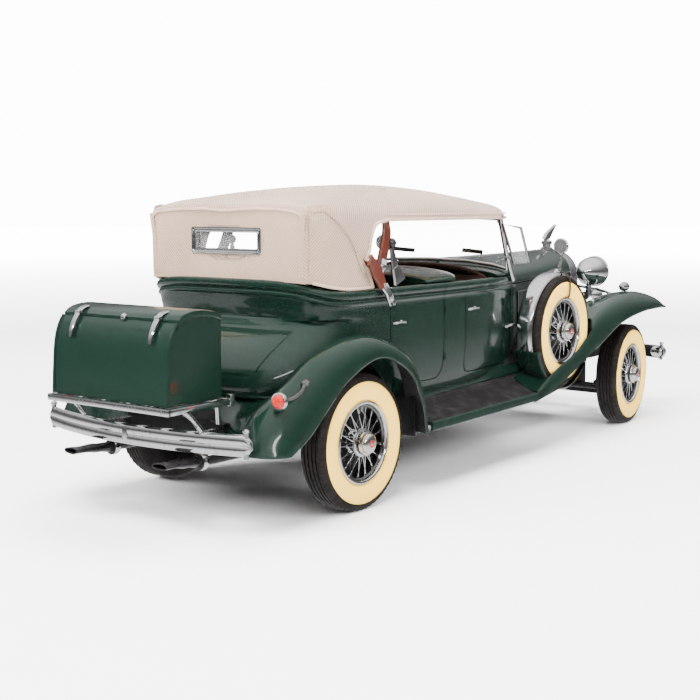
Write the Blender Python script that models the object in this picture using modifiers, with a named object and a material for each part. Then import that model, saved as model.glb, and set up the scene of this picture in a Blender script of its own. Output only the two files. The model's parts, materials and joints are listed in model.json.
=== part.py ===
"""Collector's scale model of an early-1930s open touring car with its top raised.

World frame: +X is the car's right side, +Y is forward, +Z is up, and the origin is on the
ground at the middle of the model. Every length in this script is in millimetres and every
angle in degrees, and MM turns lengths into Blender's metres where a mesh is made.
Each object is one separate piece. Moving pieces hang from empties that lie on their joints.
"""
import math

import bmesh
import bpy
from mathutils import Euler, Matrix, Vector

MM = 0.001
GAP = 0.3                      # clearance between neighbouring pieces

# Driving dimensions
WHEELBASE = 157.7
REAR_AXLE_Y = -72.0
FRONT_AXLE_Y = REAR_AXLE_Y + WHEELBASE
TYRE_R = 17.4
TYRE_WIDTH = 8.0
RIM_R = 10.3
WHEEL_X = 32.0                 # middle of each road wheel
KINGPIN_X = 26.0
STEER_AT_REST = 5.4            # front wheels are turned slightly to the left
STEER_ARM = 9.0
HALF_LENGTH = 125.5
FENDER_X = 38.6                # outer edge of fenders and running boards

# Body
BODY_HALF_WIDTH = 30.4
BODY_FRONT_Y = 15.2
CORNER_START_Y = -55.0         # where the body sides start to curve round the back
BODY_BACK_Y = -84.0
BELT_Z = 55.2
SILL_Z = 25.5
SKIN = 1.0                     # thickness of the body's metal
FENDER_SKIN = 0.8
BELT_RISE = 2.3                # how far the belt climbs at the back
SHELF_Z = 47.6
BELT_CORNER = 6.5              # squareness of the rear corners above and below the shelf
TAIL_CORNER = 4.4

# Doors
REAR_DOOR = (-53.9, -28.0)
FRONT_DOOR = (-16.6, 7.8)
DOOR_SILL_Z = 28.6
FENDER_CLEAR_R = 27.6          # the rear door's lower corner follows the fender

# Hood and radiator
HOOD_Y = (15.8, 85.6)
HOOD_HALF = (26.8, 11.0)
HOOD_CREST = (58.9, 60.1)
SHOULDER_Z = 52.3
HOOD_POWER = (2.7, 2.2)         # how square its arch is, back and front
HOOD_BOTTOM_Z = 33.0
RADIATOR_Y = (86.0, 93.0)

# Canvas top
TOP_FRONT_Y = 8.5
TOP_BACK_Y = -82.3
EAVE_Z = 72.7
EAVE_X = 28.4
CANVAS = 0.8
BOW_R = 1.0

# Spare wheels
SPARE = (33.2, 32.8, 37.0)
WELL_R = 18.0

LAMP_X = 18.4

# Trunk
TRUNK_HALF = 19.4
TRUNK_Y = (-124.2, -106.3)
TRUNK_Z = 31.5
LID = 1.0                      # thickness of the trunk's curved lid

# Finishes: colour, roughness, metallic
FINISHES = {
    "paint": ((0.020, 0.065, 0.042), 0.16, 0.0),
    "chrome": ((0.78, 0.78, 0.80), 0.12, 1.0),
    "tyre": ((0.025, 0.022, 0.020), 0.80, 0.0),
    "canvas": ((0.62, 0.53, 0.44), 0.92, 0.0),
    "leather": ((0.34, 0.12, 0.06), 0.55, 0.0),
    "wood": ((0.33, 0.09, 0.04), 0.42, 0.0),
    "black": ((0.015, 0.015, 0.016), 0.45, 0.0),
    "steel": ((0.22, 0.22, 0.23), 0.45, 0.8),
    "matting": ((0.030, 0.028, 0.028), 0.75, 0.0),
    "red_glass": ((0.55, 0.02, 0.02), 0.10, 0.0),
    "clear_glass": ((0.85, 0.90, 0.90), 0.04, 0.0),
}


# ---------------------------------------------------------------- scene helpers

def clear_scene():
    for obj in list(bpy.data.objects):
        bpy.data.objects.remove(obj, do_unlink=True)


def collection(name):
    group = bpy.data.collections.new(name)
    bpy.context.scene.collection.children.link(group)
    return group


def finish_material(name, finish):
    colour, roughness, metallic = FINISHES[finish]
    material = bpy.data.materials.new(name + "_" + finish)
    material.use_nodes = True
    shader = material.node_tree.nodes["Principled BSDF"]
    shader.inputs["Base Color"].default_value = (*colour, 1.0)
    shader.inputs["Roughness"].default_value = roughness
    shader.inputs["Metallic"].default_value = metallic
    if finish == "clear_glass":
        shader.inputs["Transmission Weight"].default_value = 0.9
    return material


def add_object(name, data, finish=None):
    """Put a mesh or curve in the car's collection, or among the cutters without a finish."""
    obj = bpy.data.objects.new(name, data)
    if finish is None:
        CUTTERS.objects.link(obj)
        obj.hide_render = True
        obj.display_type = "WIRE"
    else:
        CAR.objects.link(obj)
        data.materials.append(finish_material(name, finish))
    return obj


def pivot(name, place, turn=(0, 0, 0)):
    """An empty on a joint's axis, at a world position."""
    empty = bpy.data.objects.new(name, None)
    CAR.objects.link(empty)
    world = Matrix.Translation(Vector(place) * MM)
    world = world @ Euler([math.radians(a) for a in turn]).to_matrix().to_4x4()
    empty.matrix_world = world
    WORLD[empty.name] = world
    return empty


def hang(obj, empty):
    """Parent a piece that was modelled in world coordinates to an empty, where it lies."""
    obj.parent = empty
    obj.matrix_parent_inverse = WORLD[empty.name].inverted()
    return obj


def mesh_from(name, build):
    """A mesh filled by a function that works on a bmesh."""
    mesh = bpy.data.meshes.new(name)
    bm = bmesh.new()
    build(bm)
    bmesh.ops.recalc_face_normals(bm, faces=bm.faces)
    bm.to_mesh(mesh)
    bm.free()
    return mesh


def shade(obj, angle=35):
    obj.data.shade_smooth()
    obj.data.set_sharp_from_angle(angle=math.radians(angle))
    return obj


def solidify(obj, thickness, offset=-1.0):
    shell = obj.modifiers.new("shell", "SOLIDIFY")
    shell.thickness = thickness * MM
    shell.offset = offset
    shell.use_even_offset = True
    shell.use_quality_normals = True
    return obj


def boolean(obj, other, operation):
    modifier = obj.modifiers.new(operation.lower(), "BOOLEAN")
    modifier.operation = operation
    modifier.solver = "EXACT"
    modifier.object = other
    return obj


# ---------------------------------------------------------------- shape helpers

def lerp(a, b, t):
    return a + (b - a) * t


def along(table, t):
    """Smooth curve through the rows of a table, t from 0 to 1 (Catmull-Rom)."""
    spans = len(table) - 1
    place = min(max(t, 0.0), 1.0) * spans
    i = min(int(place), spans - 1)
    u = place - i
    p1, p2 = Vector(table[i]), Vector(table[i + 1])
    p0 = Vector(table[i - 1]) if i > 0 else p1 * 2 - p2
    p3 = Vector(table[i + 2]) if i + 2 <= spans else p2 * 2 - p1
    return 0.5 * (2 * p1 + (p2 - p0) * u + (2 * p0 - 5 * p1 + 4 * p2 - p3) * u ** 2
                  + (3 * p1 - p0 - 3 * p2 + p3) * u ** 3)


def height_at(table, y):
    """Straight-line interpolation in a table of (y, value) rows with rising y."""
    if y <= table[0][0]:
        return table[0][1]
    for (ya, a), (yb, b) in zip(table, table[1:]):
        if y <= yb:
            return lerp(a, b, (y - ya) / (yb - ya))
    return table[-1][1]


def superellipse(half, height, power, t):
    """Point on a rounded arch, t from 0 (foot at +half) through 0.5 (top) to 1."""
    angle = math.pi * t
    c, s = math.cos(angle), math.sin(angle)
    return half * math.copysign(abs(c) ** (2 / power), c), height * max(s, 0.0) ** (2 / power)


def sheet(name, rows, facing, finish, thickness, skip=None, cap=False):
    """Shell through rows of points: the rows are its outer face, which looks along facing."""
    mesh = bpy.data.meshes.new(name)
    bm = bmesh.new()
    verts = [[bm.verts.new(Vector(p) * MM) for p in row] for row in rows]
    for r in range(len(rows) - 1):
        for c in range(len(rows[0]) - 1):
            if skip is None or not skip(r, c):
                bm.faces.new((verts[r][c], verts[r][c + 1], verts[r + 1][c + 1],
                              verts[r + 1][c]))
    if cap:
        bm.faces.new(verts[-1])
    loose = [v for v in bm.verts if not v.link_faces]
    bmesh.ops.delete(bm, geom=loose, context="VERTS")
    bmesh.ops.recalc_face_normals(bm, faces=bm.faces)
    lean = sum((f.normal * f.calc_area() for f in bm.faces), Vector())
    if lean.dot(Vector(facing)) < 0:
        bmesh.ops.reverse_faces(bm, faces=bm.faces)
    bm.to_mesh(mesh)
    bm.free()
    return solidify(shade(add_object(name, mesh, finish)), thickness)


def loft(name, rings, finish=None):
    """Closed solid through rings of equal length, with flat ends."""
    def build(bm):
        verts = [[bm.verts.new(Vector(p) * MM) for p in ring] for ring in rings]
        count = len(rings[0])
        for a, b in zip(verts, verts[1:]):
            for c in range(count):
                d = (c + 1) % count
                bm.faces.new((a[c], a[d], b[d], b[c]))
        bm.faces.new(verts[0])
        bm.faces.new(verts[-1])
    return add_object(name, mesh_from(name, build), finish)


def block(name, low, high, finish=None):
    size = Vector(high) - Vector(low)
    middle = (Vector(high) + Vector(low)) / 2

    def build(bm):
        bmesh.ops.create_cube(bm, size=1.0)
        bmesh.ops.scale(bm, vec=size * MM, verts=bm.verts)
        bmesh.ops.translate(bm, vec=middle * MM, verts=bm.verts)
    return add_object(name, mesh_from(name, build), finish)


def rod(name, start, end, radius, finish=None, sides=16, end_radius=None):
    """Straight round bar or cone between two points."""
    start, end = Vector(start), Vector(end)
    direction = end - start
    turn = direction.to_track_quat("Z", "Y").to_matrix().to_4x4()
    place = Matrix.Translation((start + end) / 2 * MM) @ turn

    def build(bm):
        bmesh.ops.create_cone(bm, cap_ends=True, segments=sides, radius1=radius * MM,
                              radius2=(radius if end_radius is None else end_radius) * MM,
                              depth=direction.length * MM, matrix=place)
    return shade(add_object(name, mesh_from(name, build), finish))


def turned(name, profile, centre, axis, finish=None, steps=24, closed=False):
    """Turned piece: (radius, distance) rows, from the far end of the axis back to its start."""
    mesh = bpy.data.meshes.new(name)
    count = len(profile)
    edges = [(i, i + 1) for i in range(count - 1)]
    if closed:
        edges.append((count - 1, 0))
    mesh.from_pydata([(r * MM, 0, h * MM) for r, h in profile], edges, [])
    obj = add_object(name, mesh, finish)
    obj.location = Vector(centre) * MM
    obj.rotation_euler = Vector(axis).to_track_quat("Z", "Y").to_euler()
    screw = obj.modifiers.new("turn", "SCREW")
    screw.steps = screw.render_steps = steps
    screw.use_merge_vertices = True
    screw.merge_threshold = 0.00001
    screw.use_smooth_shade = True
    return obj


def pipe(name, points, radius, finish=None, cyclic=False):
    """Round wire or tube through points, made a mesh so that it can be cut or joined."""
    curve = bpy.data.curves.new(name, "CURVE")
    curve.dimensions = "3D"
    curve.bevel_depth = radius * MM
    curve.bevel_resolution = 1
    curve.use_fill_caps = not cyclic
    spline = curve.splines.new("POLY")
    spline.points.add(len(points) - 1)
    for point, place in zip(spline.points, points):
        point.co = (*(Vector(place) * MM), 1.0)
    spline.use_cyclic_u = cyclic
    guide = bpy.data.objects.new(name + "_curve", curve)
    CUTTERS.objects.link(guide)
    bpy.context.view_layer.update()
    evaluated = guide.evaluated_get(bpy.context.evaluated_depsgraph_get())
    mesh = bpy.data.meshes.new_from_object(evaluated)
    bpy.data.objects.remove(guide, do_unlink=True)
    bm = bmesh.new()
    bm.from_mesh(mesh)
    bmesh.ops.remove_doubles(bm, verts=bm.verts, dist=0.000002)
    bmesh.ops.recalc_face_normals(bm, faces=bm.faces)
    bm.to_mesh(mesh)
    bm.free()
    mesh.materials.clear()
    return shade(add_object(name, mesh, finish))


def prism(name, outline, axis, low, high, finish=None):
    """Flat outline swept straight along X (from Y, Z rows), Y (X, Z) or Z (X, Y)."""
    def place(point, distance):
        a, b = point
        return {"X": (distance, a, b), "Y": (a, distance, b), "Z": (a, b, distance)}[axis]
    return loft(name, [[place(p, low) for p in outline], [place(p, high) for p in outline]],
                finish)


def mirrored(points):
    return [(-x, y, z) for x, y, z in points]


def sides():
    return (("right", 1), ("left", -1))


# ---------------------------------------------------------------- wheels

TYRE_PROFILE = [
    (RIM_R, 2.9), (12.2, 3.7), (14.2, 4.0), (16.3, 3.6), (TYRE_R, 2.5),
    (TYRE_R, -2.5), (16.3, -3.6), (14.2, -4.0), (12.2, -3.7), (RIM_R, -2.9),
]
STUB_R = 1.5
BORE_R = 1.6
STUB_REACH = 3.9                # how far an axle's end passes the middle of its wheel
KINGPIN_R = 1.0
BEAM_Z = (9.6, 13.0)            # front axle beam, below the knuckles
KNUCKLE_Z = (BEAM_Z[1] + GAP, 21.6)
WHEEL_PROFILE = [
    (0.0, 5.9), (1.8, 5.7), (2.4, 4.9), (3.9, 4.3), (3.9, 2.2), (8.6, -0.6), (9.1, 3.2),
    (RIM_R - GAP, 3.2), (RIM_R - GAP, -3.0), (8.8, -3.0), (8.4, -1.8), (3.0, -1.0),
    (BORE_R, -1.0), (BORE_R, 4.2), (0.0, 4.2),
]
SPARE_PROFILE = WHEEL_PROFILE[:11] + [(0.0, -1.0)]


def wheel(place, centre, side, turn=0.0, parent=None, spare=False):
    """Tyre and wheel on one axis; the outer face points away from the car."""
    axis = Matrix.Rotation(math.radians(turn), 3, "Z") @ Vector((side, 0, 0))
    prefix = "spare_" if spare else ""
    tyre = turned(prefix + "tyre_" + place, TYRE_PROFILE, centre, axis, "tyre", 24, True)
    profile = SPARE_PROFILE if spare else WHEEL_PROFILE
    rim = turned(prefix + "wheel_" + place, profile, centre, axis, "chrome", 20)
    if parent is not None:
        for piece in (tyre, rim):
            world = Matrix.LocRotScale(piece.location, piece.rotation_euler, None)
            piece.parent = parent
            piece.matrix_basis = WORLD[parent.name].inverted() @ world


def rear_running_gear():
    """Axle tube with its gear case and brake drums in one turned piece."""
    drum_r, tube_r, case_r = 7.0, 2.2, 5.2
    end = WHEEL_X + STUB_REACH
    half = [(0.0, end), (STUB_R, end), (STUB_R, 27.5), (drum_r, 27.5),
            (drum_r, 24.6), (tube_r, 24.6), (tube_r, 7.5), (case_r, 2.5)]
    profile = half + [(r, -h) for r, h in reversed(half)]
    turned("rear_axle", profile, (0, REAR_AXLE_Y, TYRE_R), (1, 0, 0), "black", 16)
    for side_name, side in sides():
        hub = pivot("rear_wheel_pivot_" + side_name, (side * WHEEL_X, REAR_AXLE_Y, TYRE_R))
        wheel("rear_" + side_name, (side * WHEEL_X, REAR_AXLE_Y, TYRE_R), side, 0, hub)


def front_running_gear():
    """Beam axle with a kingpin at each end, hung from the frame on two spring blocks."""
    spring_x, spring_half = 15.0, (1.3, 4.0)
    beam = block("front_axle", (-KINGPIN_X - 1.0, FRONT_AXLE_Y - 1.5, BEAM_Z[0]),
                 (KINGPIN_X + 1.0, FRONT_AXLE_Y + 1.5, BEAM_Z[1]), "black")
    for side_name, side in sides():
        pin = rod("kingpin_" + side_name, (side * KINGPIN_X, FRONT_AXLE_Y, BEAM_Z[1] - 1.0),
                  (side * KINGPIN_X, FRONT_AXLE_Y, KNUCKLE_Z[1] + 0.4), KINGPIN_R)
        boolean(beam, pin, "UNION")
        middle_x = side * spring_x
        spring = block("spring_seat_" + side_name,
                       (middle_x - spring_half[0], FRONT_AXLE_Y - spring_half[1], BEAM_Z[1] - 1.0),
                       (middle_x + spring_half[0], FRONT_AXLE_Y + spring_half[1],
                        RAIL_Z[0] - GAP))
        boolean(beam, spring, "UNION")
        kingpin = (side * KINGPIN_X, FRONT_AXLE_Y, TYRE_R)
        steer = pivot("steering_pivot_" + side_name, kingpin, (0, 0, STEER_AT_REST))
        steered(side_name, side, kingpin, steer)
    tie_rod()


def steered(side_name, side, kingpin, steer):
    """Knuckle, stub axle and wheel, all turned with the kingpin's empty."""
    turn = Matrix.Rotation(math.radians(STEER_AT_REST), 3, "Z")
    low, high = KNUCKLE_Z
    arm_z = low + 1.7

    def at(x, y, z):
        return Vector(kingpin) + turn @ Vector((x, y, z - TYRE_R))
    knuckle = rod("knuckle_" + side_name, at(0, 0, low), at(0, 0, high), 2.3, "steel")
    stub_end = side * (WHEEL_X - KINGPIN_X + STUB_REACH)
    stub = rod("stub_" + side_name, at(side * 1.2, 0, TYRE_R), at(stub_end, 0, TYRE_R), STUB_R,
               None, 24)
    arm = rod("arm_" + side_name, at(0, -1.2, arm_z), at(0, -STEER_ARM - 1.0, arm_z), 0.75)
    bore = rod("kingpin_bore_" + side_name, at(0, 0, low - 2), at(0, 0, high + 2),
               KINGPIN_R + 0.07)
    boolean(knuckle, stub, "UNION")
    boolean(knuckle, arm, "UNION")
    boolean(knuckle, bore, "DIFFERENCE")
    hang(knuckle, steer)
    centre = at(side * (WHEEL_X - KINGPIN_X), 0, TYRE_R)
    wheel("front_" + side_name, centre, side, STEER_AT_REST, steer)


def tie_rod():
    """Bar under the two steering arms."""
    shift = STEER_ARM * math.sin(math.radians(STEER_AT_REST))
    y = FRONT_AXLE_Y - STEER_ARM * math.cos(math.radians(STEER_AT_REST))
    z = BEAM_Z[1] + 0.1
    rod("tie_rod", (shift - KINGPIN_X, y, z), (shift + KINGPIN_X, y, z), 0.8, "steel")


# ---------------------------------------------------------------- chassis

RAIL_X = (12.4, 16.5)
RAIL_Z = (20.4, 24.4)
FRAME_Y = (-103.0, 112.0)
FRAME_MIDDLE_Y = (-56.0, 66.0)   # the frame is deepest between the axles
FRAME_STEP = 0.6
CROSS_MEMBERS = (-101.0, -50.0, -13.0, 42.0, 110.0)


def chassis():
    frame = block("chassis_frame", (-RAIL_X[1], FRAME_Y[0], RAIL_Z[0]),
                  (RAIL_X[1], FRAME_Y[1], RAIL_Z[1]), "black")
    for i, (a, b) in enumerate(zip(CROSS_MEMBERS, CROSS_MEMBERS[1:])):
        window = block(f"frame_window_{i}", (-RAIL_X[0], a + 2.0, RAIL_Z[0] - 2),
                       (RAIL_X[0], b - 2.0, RAIL_Z[1] + 2))
        boolean(frame, window, "DIFFERENCE")
    reach = RAIL_X[1] + 2.0
    for i, (a, b) in enumerate(((FRAME_Y[0] - 2.0, FRAME_MIDDLE_Y[0]),
                                (FRAME_MIDDLE_Y[1], FRAME_Y[1] + 2.0))):
        relief = block(f"frame_relief_{i}", (-reach, a, RAIL_Z[0] - 2.0),
                       (reach, b, RAIL_Z[0] + FRAME_STEP))
        boolean(frame, relief, "DIFFERENCE")
    block("engine", (-8.0, 24.0, RAIL_Z[1] + GAP), (8.0, 74.0, 50.0), "steel")
    for side_name, side in sides():
        exhaust(side_name, side)


def exhaust(side_name, side):
    """Tail pipe that flattens into a fishtail."""
    stations = [(-78.0, 1.2, 1.2, 16.3), (-107.0, 1.2, 1.2, 16.3), (-110.5, 1.7, 1.4, 16.5),
                (-114.0, 2.2, 1.1, 16.8), (-123.0, 2.4, 1.2, 17.4)]
    count = 12
    rings = []
    for y, half, tall, z in stations:
        x = side * (15.6 if y > -108 else 15.2)
        rings.append([(x + half * math.cos(2 * math.pi * k / count), y,
                       z + tall * math.sin(2 * math.pi * k / count)) for k in range(count)])
    shade(loft("exhaust_" + side_name, rings, "steel"))


# ---------------------------------------------------------------- body

BACK_PROFILE = [                # (height, body's rearmost y) below the belt
    (25.0, -93.5), (30.0, -95.0), (32.5, -95.8), (36.5, -94.4), (41.0, -90.5), (45.0, -85.5),
    (SHELF_Z, -82.6), (SHELF_Z + 0.7, -82.0), (52.0, -83.2), (60.0, -84.0),
]
SIDE_PROFILE = [                # (height, how far the side stands out from the belt's line)
    (25.0, -1.5), (30.0, -0.5), (38.0, 0.2), (45.0, 0.2), (52.0, 0.0), (60.0, 0.0),
]


def body_half(y):
    """Half-width at the belt, ahead of the rear corners."""
    if y <= -20.0:
        return BODY_HALF_WIDTH
    return BODY_HALF_WIDTH - 3.4 * ((y + 20.0) / 35.0) ** 2


def body_point(s, z, out=0.0):
    """Outer body surface; s runs 0 at the cowl, 0.5 at the corner's start, 1 at the back."""
    bulge = height_at(SIDE_PROFILE, z) + out
    if s <= 0.5:
        y = lerp(BODY_FRONT_Y, CORNER_START_Y, s * 2)
        return body_half(y) + bulge, y
    depth = CORNER_START_Y - height_at(BACK_PROFILE, z) + out
    power = BELT_CORNER if z > SHELF_Z + 0.3 else TAIL_CORNER
    x, d = superellipse(BODY_HALF_WIDTH + bulge, depth, power, (s - 0.5))
    return x, CORNER_START_Y - d


def belt_z(s):
    rise = max(0.0, (s - 0.55) / 0.45)
    return BELT_Z + BELT_RISE * rise * rise * (3 - 2 * rise)


def bottom_z(s):
    return lerp(SILL_Z, 30.0, min(max((s - 0.5) / 0.15, 0.0), 1.0))


def body_column(s):
    """Points of one upright line on the body, from the belt down."""
    top, low = belt_z(s), bottom_z(s)
    points = []
    for z, out in ((top, 0.0), (top - 0.5, 0.55), (top - 2.6, 0.55), (top - 3.1, 0.0)):
        points.append((*body_point(s, z, out), z))
    heights = [49.6, SHELF_Z + 0.7, SHELF_Z, 45.0, 41.0, 36.5, 32.5, low]
    for z in heights:
        points.append((*body_point(s, z), z))
    return points


def body_shell(name, finish):
    """The whole outer skin from the cowl round the back to the other cowl side."""
    stops = [0.0, 0.055, 0.11, 0.17, 0.225, 0.30, 0.355, 0.41, 0.47, 0.5]
    stops += [0.5 + 0.5 * k / 9 for k in range(1, 10)]
    right = [body_column(s) for s in stops]
    left = [mirrored(column) for column in reversed(right[:-1])]
    return sheet(name, right + left, (0, -1, 0), finish, SKIN)


def door_outline(span, follows_fender, grow=0.0):
    """Side view of a door opening as (y, z) rows, with rounded lower corners."""
    back, front = span[0] - grow, span[1] + grow
    low, high = DOOR_SILL_Z - grow, 62.0
    radius = 3.0
    rows = []
    if follows_fender:
        reach = FENDER_CLEAR_R - grow
        start = math.acos((back - REAR_AXLE_Y) / reach)
        stop = math.asin((low - TYRE_R) / reach)
        for k in range(7):
            angle = lerp(start, stop, k / 6)
            rows.append((REAR_AXLE_Y + reach * math.cos(angle),
                         TYRE_R + reach * math.sin(angle)))
    else:
        for k in range(4):
            angle = math.radians(180 + 30 * k)
            rows.append((back + radius + radius * math.cos(angle),
                         low + radius + radius * math.sin(angle)))
    for k in range(4):
        angle = math.radians(270 + 30 * k)
        rows.append((front - radius + radius * math.cos(angle),
                     low + radius + radius * math.sin(angle)))
    return rows + [(front, high), (back, high)]


def body():
    tub = body_shell("body_tub", "paint")
    for side_name, side in sides():
        arch = rod("wheel_arch_" + side_name, (side * 26.5, REAR_AXLE_Y, TYRE_R),
                   (side * 40, REAR_AXLE_Y, TYRE_R), 20.5, None, 32)
        boolean(tub, arch, "DIFFERENCE")
        doors = (("rear", REAR_DOOR, True), ("front", FRONT_DOOR, False))
        for row, span, follows in doors:
            name = row + "_" + side_name
            reach = sorted((side * 20, side * 36))
            inside = prism("door_cut_" + name, door_outline(span, follows, -GAP / 2), "X", *reach)
            outside = prism("door_hole_" + name, door_outline(span, follows, GAP / 2), "X",
                            *reach)
            boolean(tub, outside, "DIFFERENCE")
            door = body_shell("door_" + name, "paint")
            boolean(door, inside, "INTERSECT")
            hinge_x = body_half(span[1]) + 1.0
            hinge = pivot("door_hinge_" + name, (side * hinge_x, span[1], 42.0))
            hang(door, hinge)
    cowl()
    tonneau_cowl()
    floor()


def arch_rings(half, foot_z, crest_z, inner_z, power, ys, inset, count=12):
    """Rings of a panel that sits on the body sides and drops between them."""
    rings = []
    for i, y in enumerate(ys):
        ring = []
        for k in range(count + 1):
            x, rise = superellipse(half[i], crest_z[i] - foot_z, power, k / count)
            ring.append((x, y, foot_z + rise))
        inner = half[i] - inset
        ring += [(-inner, y, foot_z), (-inner, y, inner_z), (inner, y, inner_z),
                 (inner, y, foot_z)]
        rings.append(ring)
    return rings


def cowl():
    ys = (3.0, 9.0, BODY_FRONT_Y)
    half = [body_half(y) + 0.2 for y in ys]
    rings = arch_rings(half, BELT_Z + GAP, (57.9, 58.5, 58.8), 50.0, 2.2, ys, SKIN + 1.1)
    shade(loft("cowl", rings, "paint"))


def tonneau_cowl():
    """Second cowl, across the body behind the front seat."""
    ys = (-36.5, -30.0, -24.5)
    rings = arch_rings([BODY_HALF_WIDTH] * 3, BELT_Z + GAP, (56.6, 57.3, 57.5), 53.2, 2.2, ys,
                       SKIN + 0.9)
    shade(loft("tonneau_cowl", rings, "paint"))


def floor():
    outline = [(24.6, 14.0), (27.0, -8.0), (27.4, -20.0), (27.4, -48.0), (26.0, -68.0),
               (21.0, -82.0)]
    outline += [(-x, y) for x, y in reversed(outline)]
    prism("floor_pan", outline, "Z", 26.0, 27.0, "matting")


# ---------------------------------------------------------------- hood and radiator

def hood_half(y):
    return lerp(*HOOD_HALF, (y - HOOD_Y[0]) / (HOOD_Y[1] - HOOD_Y[0]))


def hood_crest(y):
    return lerp(*HOOD_CREST, (y - HOOD_Y[0]) / (HOOD_Y[1] - HOOD_Y[0]))


def hood_power(y):
    return lerp(*HOOD_POWER, (y - HOOD_Y[0]) / (HOOD_Y[1] - HOOD_Y[0]))


def hood():
    """Two top panels hinged along the middle, over side panels fixed below the shoulders."""
    for side_name, side in sides():
        top_rows, side_rows = [], []
        for y in (HOOD_Y[0], lerp(*HOOD_Y, 0.5), HOOD_Y[1]):
            half, crest = hood_half(y), hood_crest(y)
            row = []
            for k in range(9):
                x, rise = superellipse(half, crest - SHOULDER_Z, hood_power(y), 0.5 * k / 8)
                row.append((side * max(x, GAP / 2), y, SHOULDER_Z + GAP / 2 + rise))
            top_rows.append(row)
            side_rows.append([(side * half, y, SHOULDER_Z - GAP / 2),
                              (side * (half + 0.3), y, 44.0),
                              (side * (half + 0.2), y, HOOD_BOTTOM_Z)])
        hinge_y, hinge_z = middle_of(HOOD_Y, HOOD_CREST)
        lift = pivot("hood_hinge_" + side_name, (0, hinge_y, hinge_z + GAP / 2))
        hang(sheet("hood_top_" + side_name, top_rows, (0, 0, 1), "paint", SKIN), lift)
        sheet("hood_side_" + side_name, side_rows, (side, 0, 0), "paint", SKIN)


def middle_of(ys, zs):
    return (sum(ys) / 2, sum(zs) / 2)


def radiator():
    """Tapered shell with an arched top, a little proud of the hood."""
    half, foot, arch_foot, crest, taper = 11.2, 27.0, 50.0, 60.4, 0.92
    rings = []
    for y, shrink in ((RADIATOR_Y[0], 0.0), (lerp(*RADIATOR_Y, 0.8), 0.0), (RADIATOR_Y[1], 1.2)):
        width = half - shrink
        ring = []
        for k in range(13):
            x, rise = superellipse(width, crest - shrink - arch_foot, HOOD_POWER[1], k / 12)
            ring.append((x, y, arch_foot + rise))
        ring += [(-width * taper, y, foot), (width * taper, y, foot)]
        rings.append(ring)
    shade(loft("radiator_shell", rings, "chrome"))


# ---------------------------------------------------------------- fenders and boards

# Rows of a fender: outer lip (x, y, z), crown (x, y, z) and inner edge (x, y, z).
REAR_FENDER = [
    (38.6, -47.7, 16.3, 34.5, -46.4, 16.5, 31.3, -46.6, 16.5),
    (38.6, -50.0, 25.5, 34.5, -47.5, 27.5, 31.3, -47.9, 27.3),
    (38.6, -56.5, 34.2, 34.5, -53.6, 38.0, 31.3, -54.2, 37.4),
    (38.6, -69.0, 38.9, 34.0, -69.5, 44.2, 31.2, -69.5, 43.6),
    (38.6, -82.0, 34.9, 33.5, -86.0, 42.2, 30.2, -83.6, 39.2),
    (38.6, -90.5, 28.7, 33.0, -97.0, 36.0, 28.2, -93.0, 32.6),
    (38.6, -97.5, 23.0, 32.0, -106.5, 28.5, 24.4, -101.0, 28.6),
    (38.2, -103.6, 19.4, 32.5, -111.0, 20.0, 23.0, -107.0, 20.4),
]
FRONT_FENDER = [
    (38.6, 13.4, 17.6, 37.8, 13.4, 20.2, 29.6, 13.4, 24.0),
    (38.6, 26.0, 20.4, 37.4, 25.0, 25.3, 29.4, 26.0, 27.2),
    (38.6, 42.0, 26.2, 37.2, 40.5, 30.6, 28.6, 42.0, 31.6),
    (38.6, 56.0, 31.4, 36.0, 54.0, 39.2, 25.6, 56.0, 37.0),
    (38.6, 70.0, 36.7, 34.0, 68.5, 44.2, 22.4, 70.0, 41.2),
    (38.6, 87.0, 39.4, 32.5, 87.0, 46.2, 19.4, 87.0, 42.6),
    (38.0, 104.0, 39.9, 30.5, 104.5, 44.4, 18.2, 103.0, 40.4),
    (34.6, 116.5, 38.9, 28.0, 119.2, 39.4, 19.0, 114.5, 36.8),
]


def fender_surface(table, stations, side, outer_steps=4, inner_steps=3):
    """Grid from the lip up a quarter ellipse to the crown, then down to the inner edge."""
    rows = []
    for i in range(stations + 1):
        r = along(table, i / stations)
        lip, crown, inner = Vector(r[0:3]), Vector(r[3:6]), Vector(r[6:9])
        row = []
        for k in range(outer_steps + 1):
            angle = math.pi / 2 * k / outer_steps
            c, s = math.cos(angle), math.sin(angle)
            row.append((crown.x + (lip.x - crown.x) * c, lip.y + (crown.y - lip.y) * s,
                        lip.z + (crown.z - lip.z) * s))
        for k in range(1, inner_steps + 1):
            t = k / inner_steps
            row.append((lerp(crown.x, inner.x, t), lerp(crown.y, inner.y, t * t),
                        lerp(crown.z, inner.z, t * t)))
        rows.append([(side * x, y, z) for x, y, z in row])
    return rows


def fenders():
    for side_name, side in sides():
        sheet("rear_fender_" + side_name, fender_surface(REAR_FENDER, 13, side),
              (side, 0, 1), "paint", FENDER_SKIN)
        front = sheet("front_fender_" + side_name, fender_surface(FRONT_FENDER, 14, side),
                      (side, 0, 1), "paint", FENDER_SKIN)
        well = rod("spare_well_" + side_name, (side * 28.6, *SPARE[1:]),
                   (side * 37.55, *SPARE[1:]), WELL_R, None, 36)
        boolean(front, well, "DIFFERENCE")
        running_board(side_name, side)


def running_board(side_name, side):
    """Flat step with a rolled outer edge and an apron that rises to the sill."""
    rings = []
    for y, z in ((-45.4, 16.8), (13.0, 17.5)):
        ring = [(38.6, z), (38.6, z + 1.9), (38.0, z + 2.3), (32.6, z + 2.6), (30.2, z + 4.0),
                (29.6, z + 6.3), (28.8, z + 6.3), (29.2, z + 3.4), (32.0, z + 1.4),
                (37.6, z + 1.1), (37.6, z)]
        rings.append([(side * a, y, b) for a, b in ring])
    loft("running_board_" + side_name, rings, "matting")


# ---------------------------------------------------------------- spare wheels

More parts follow.
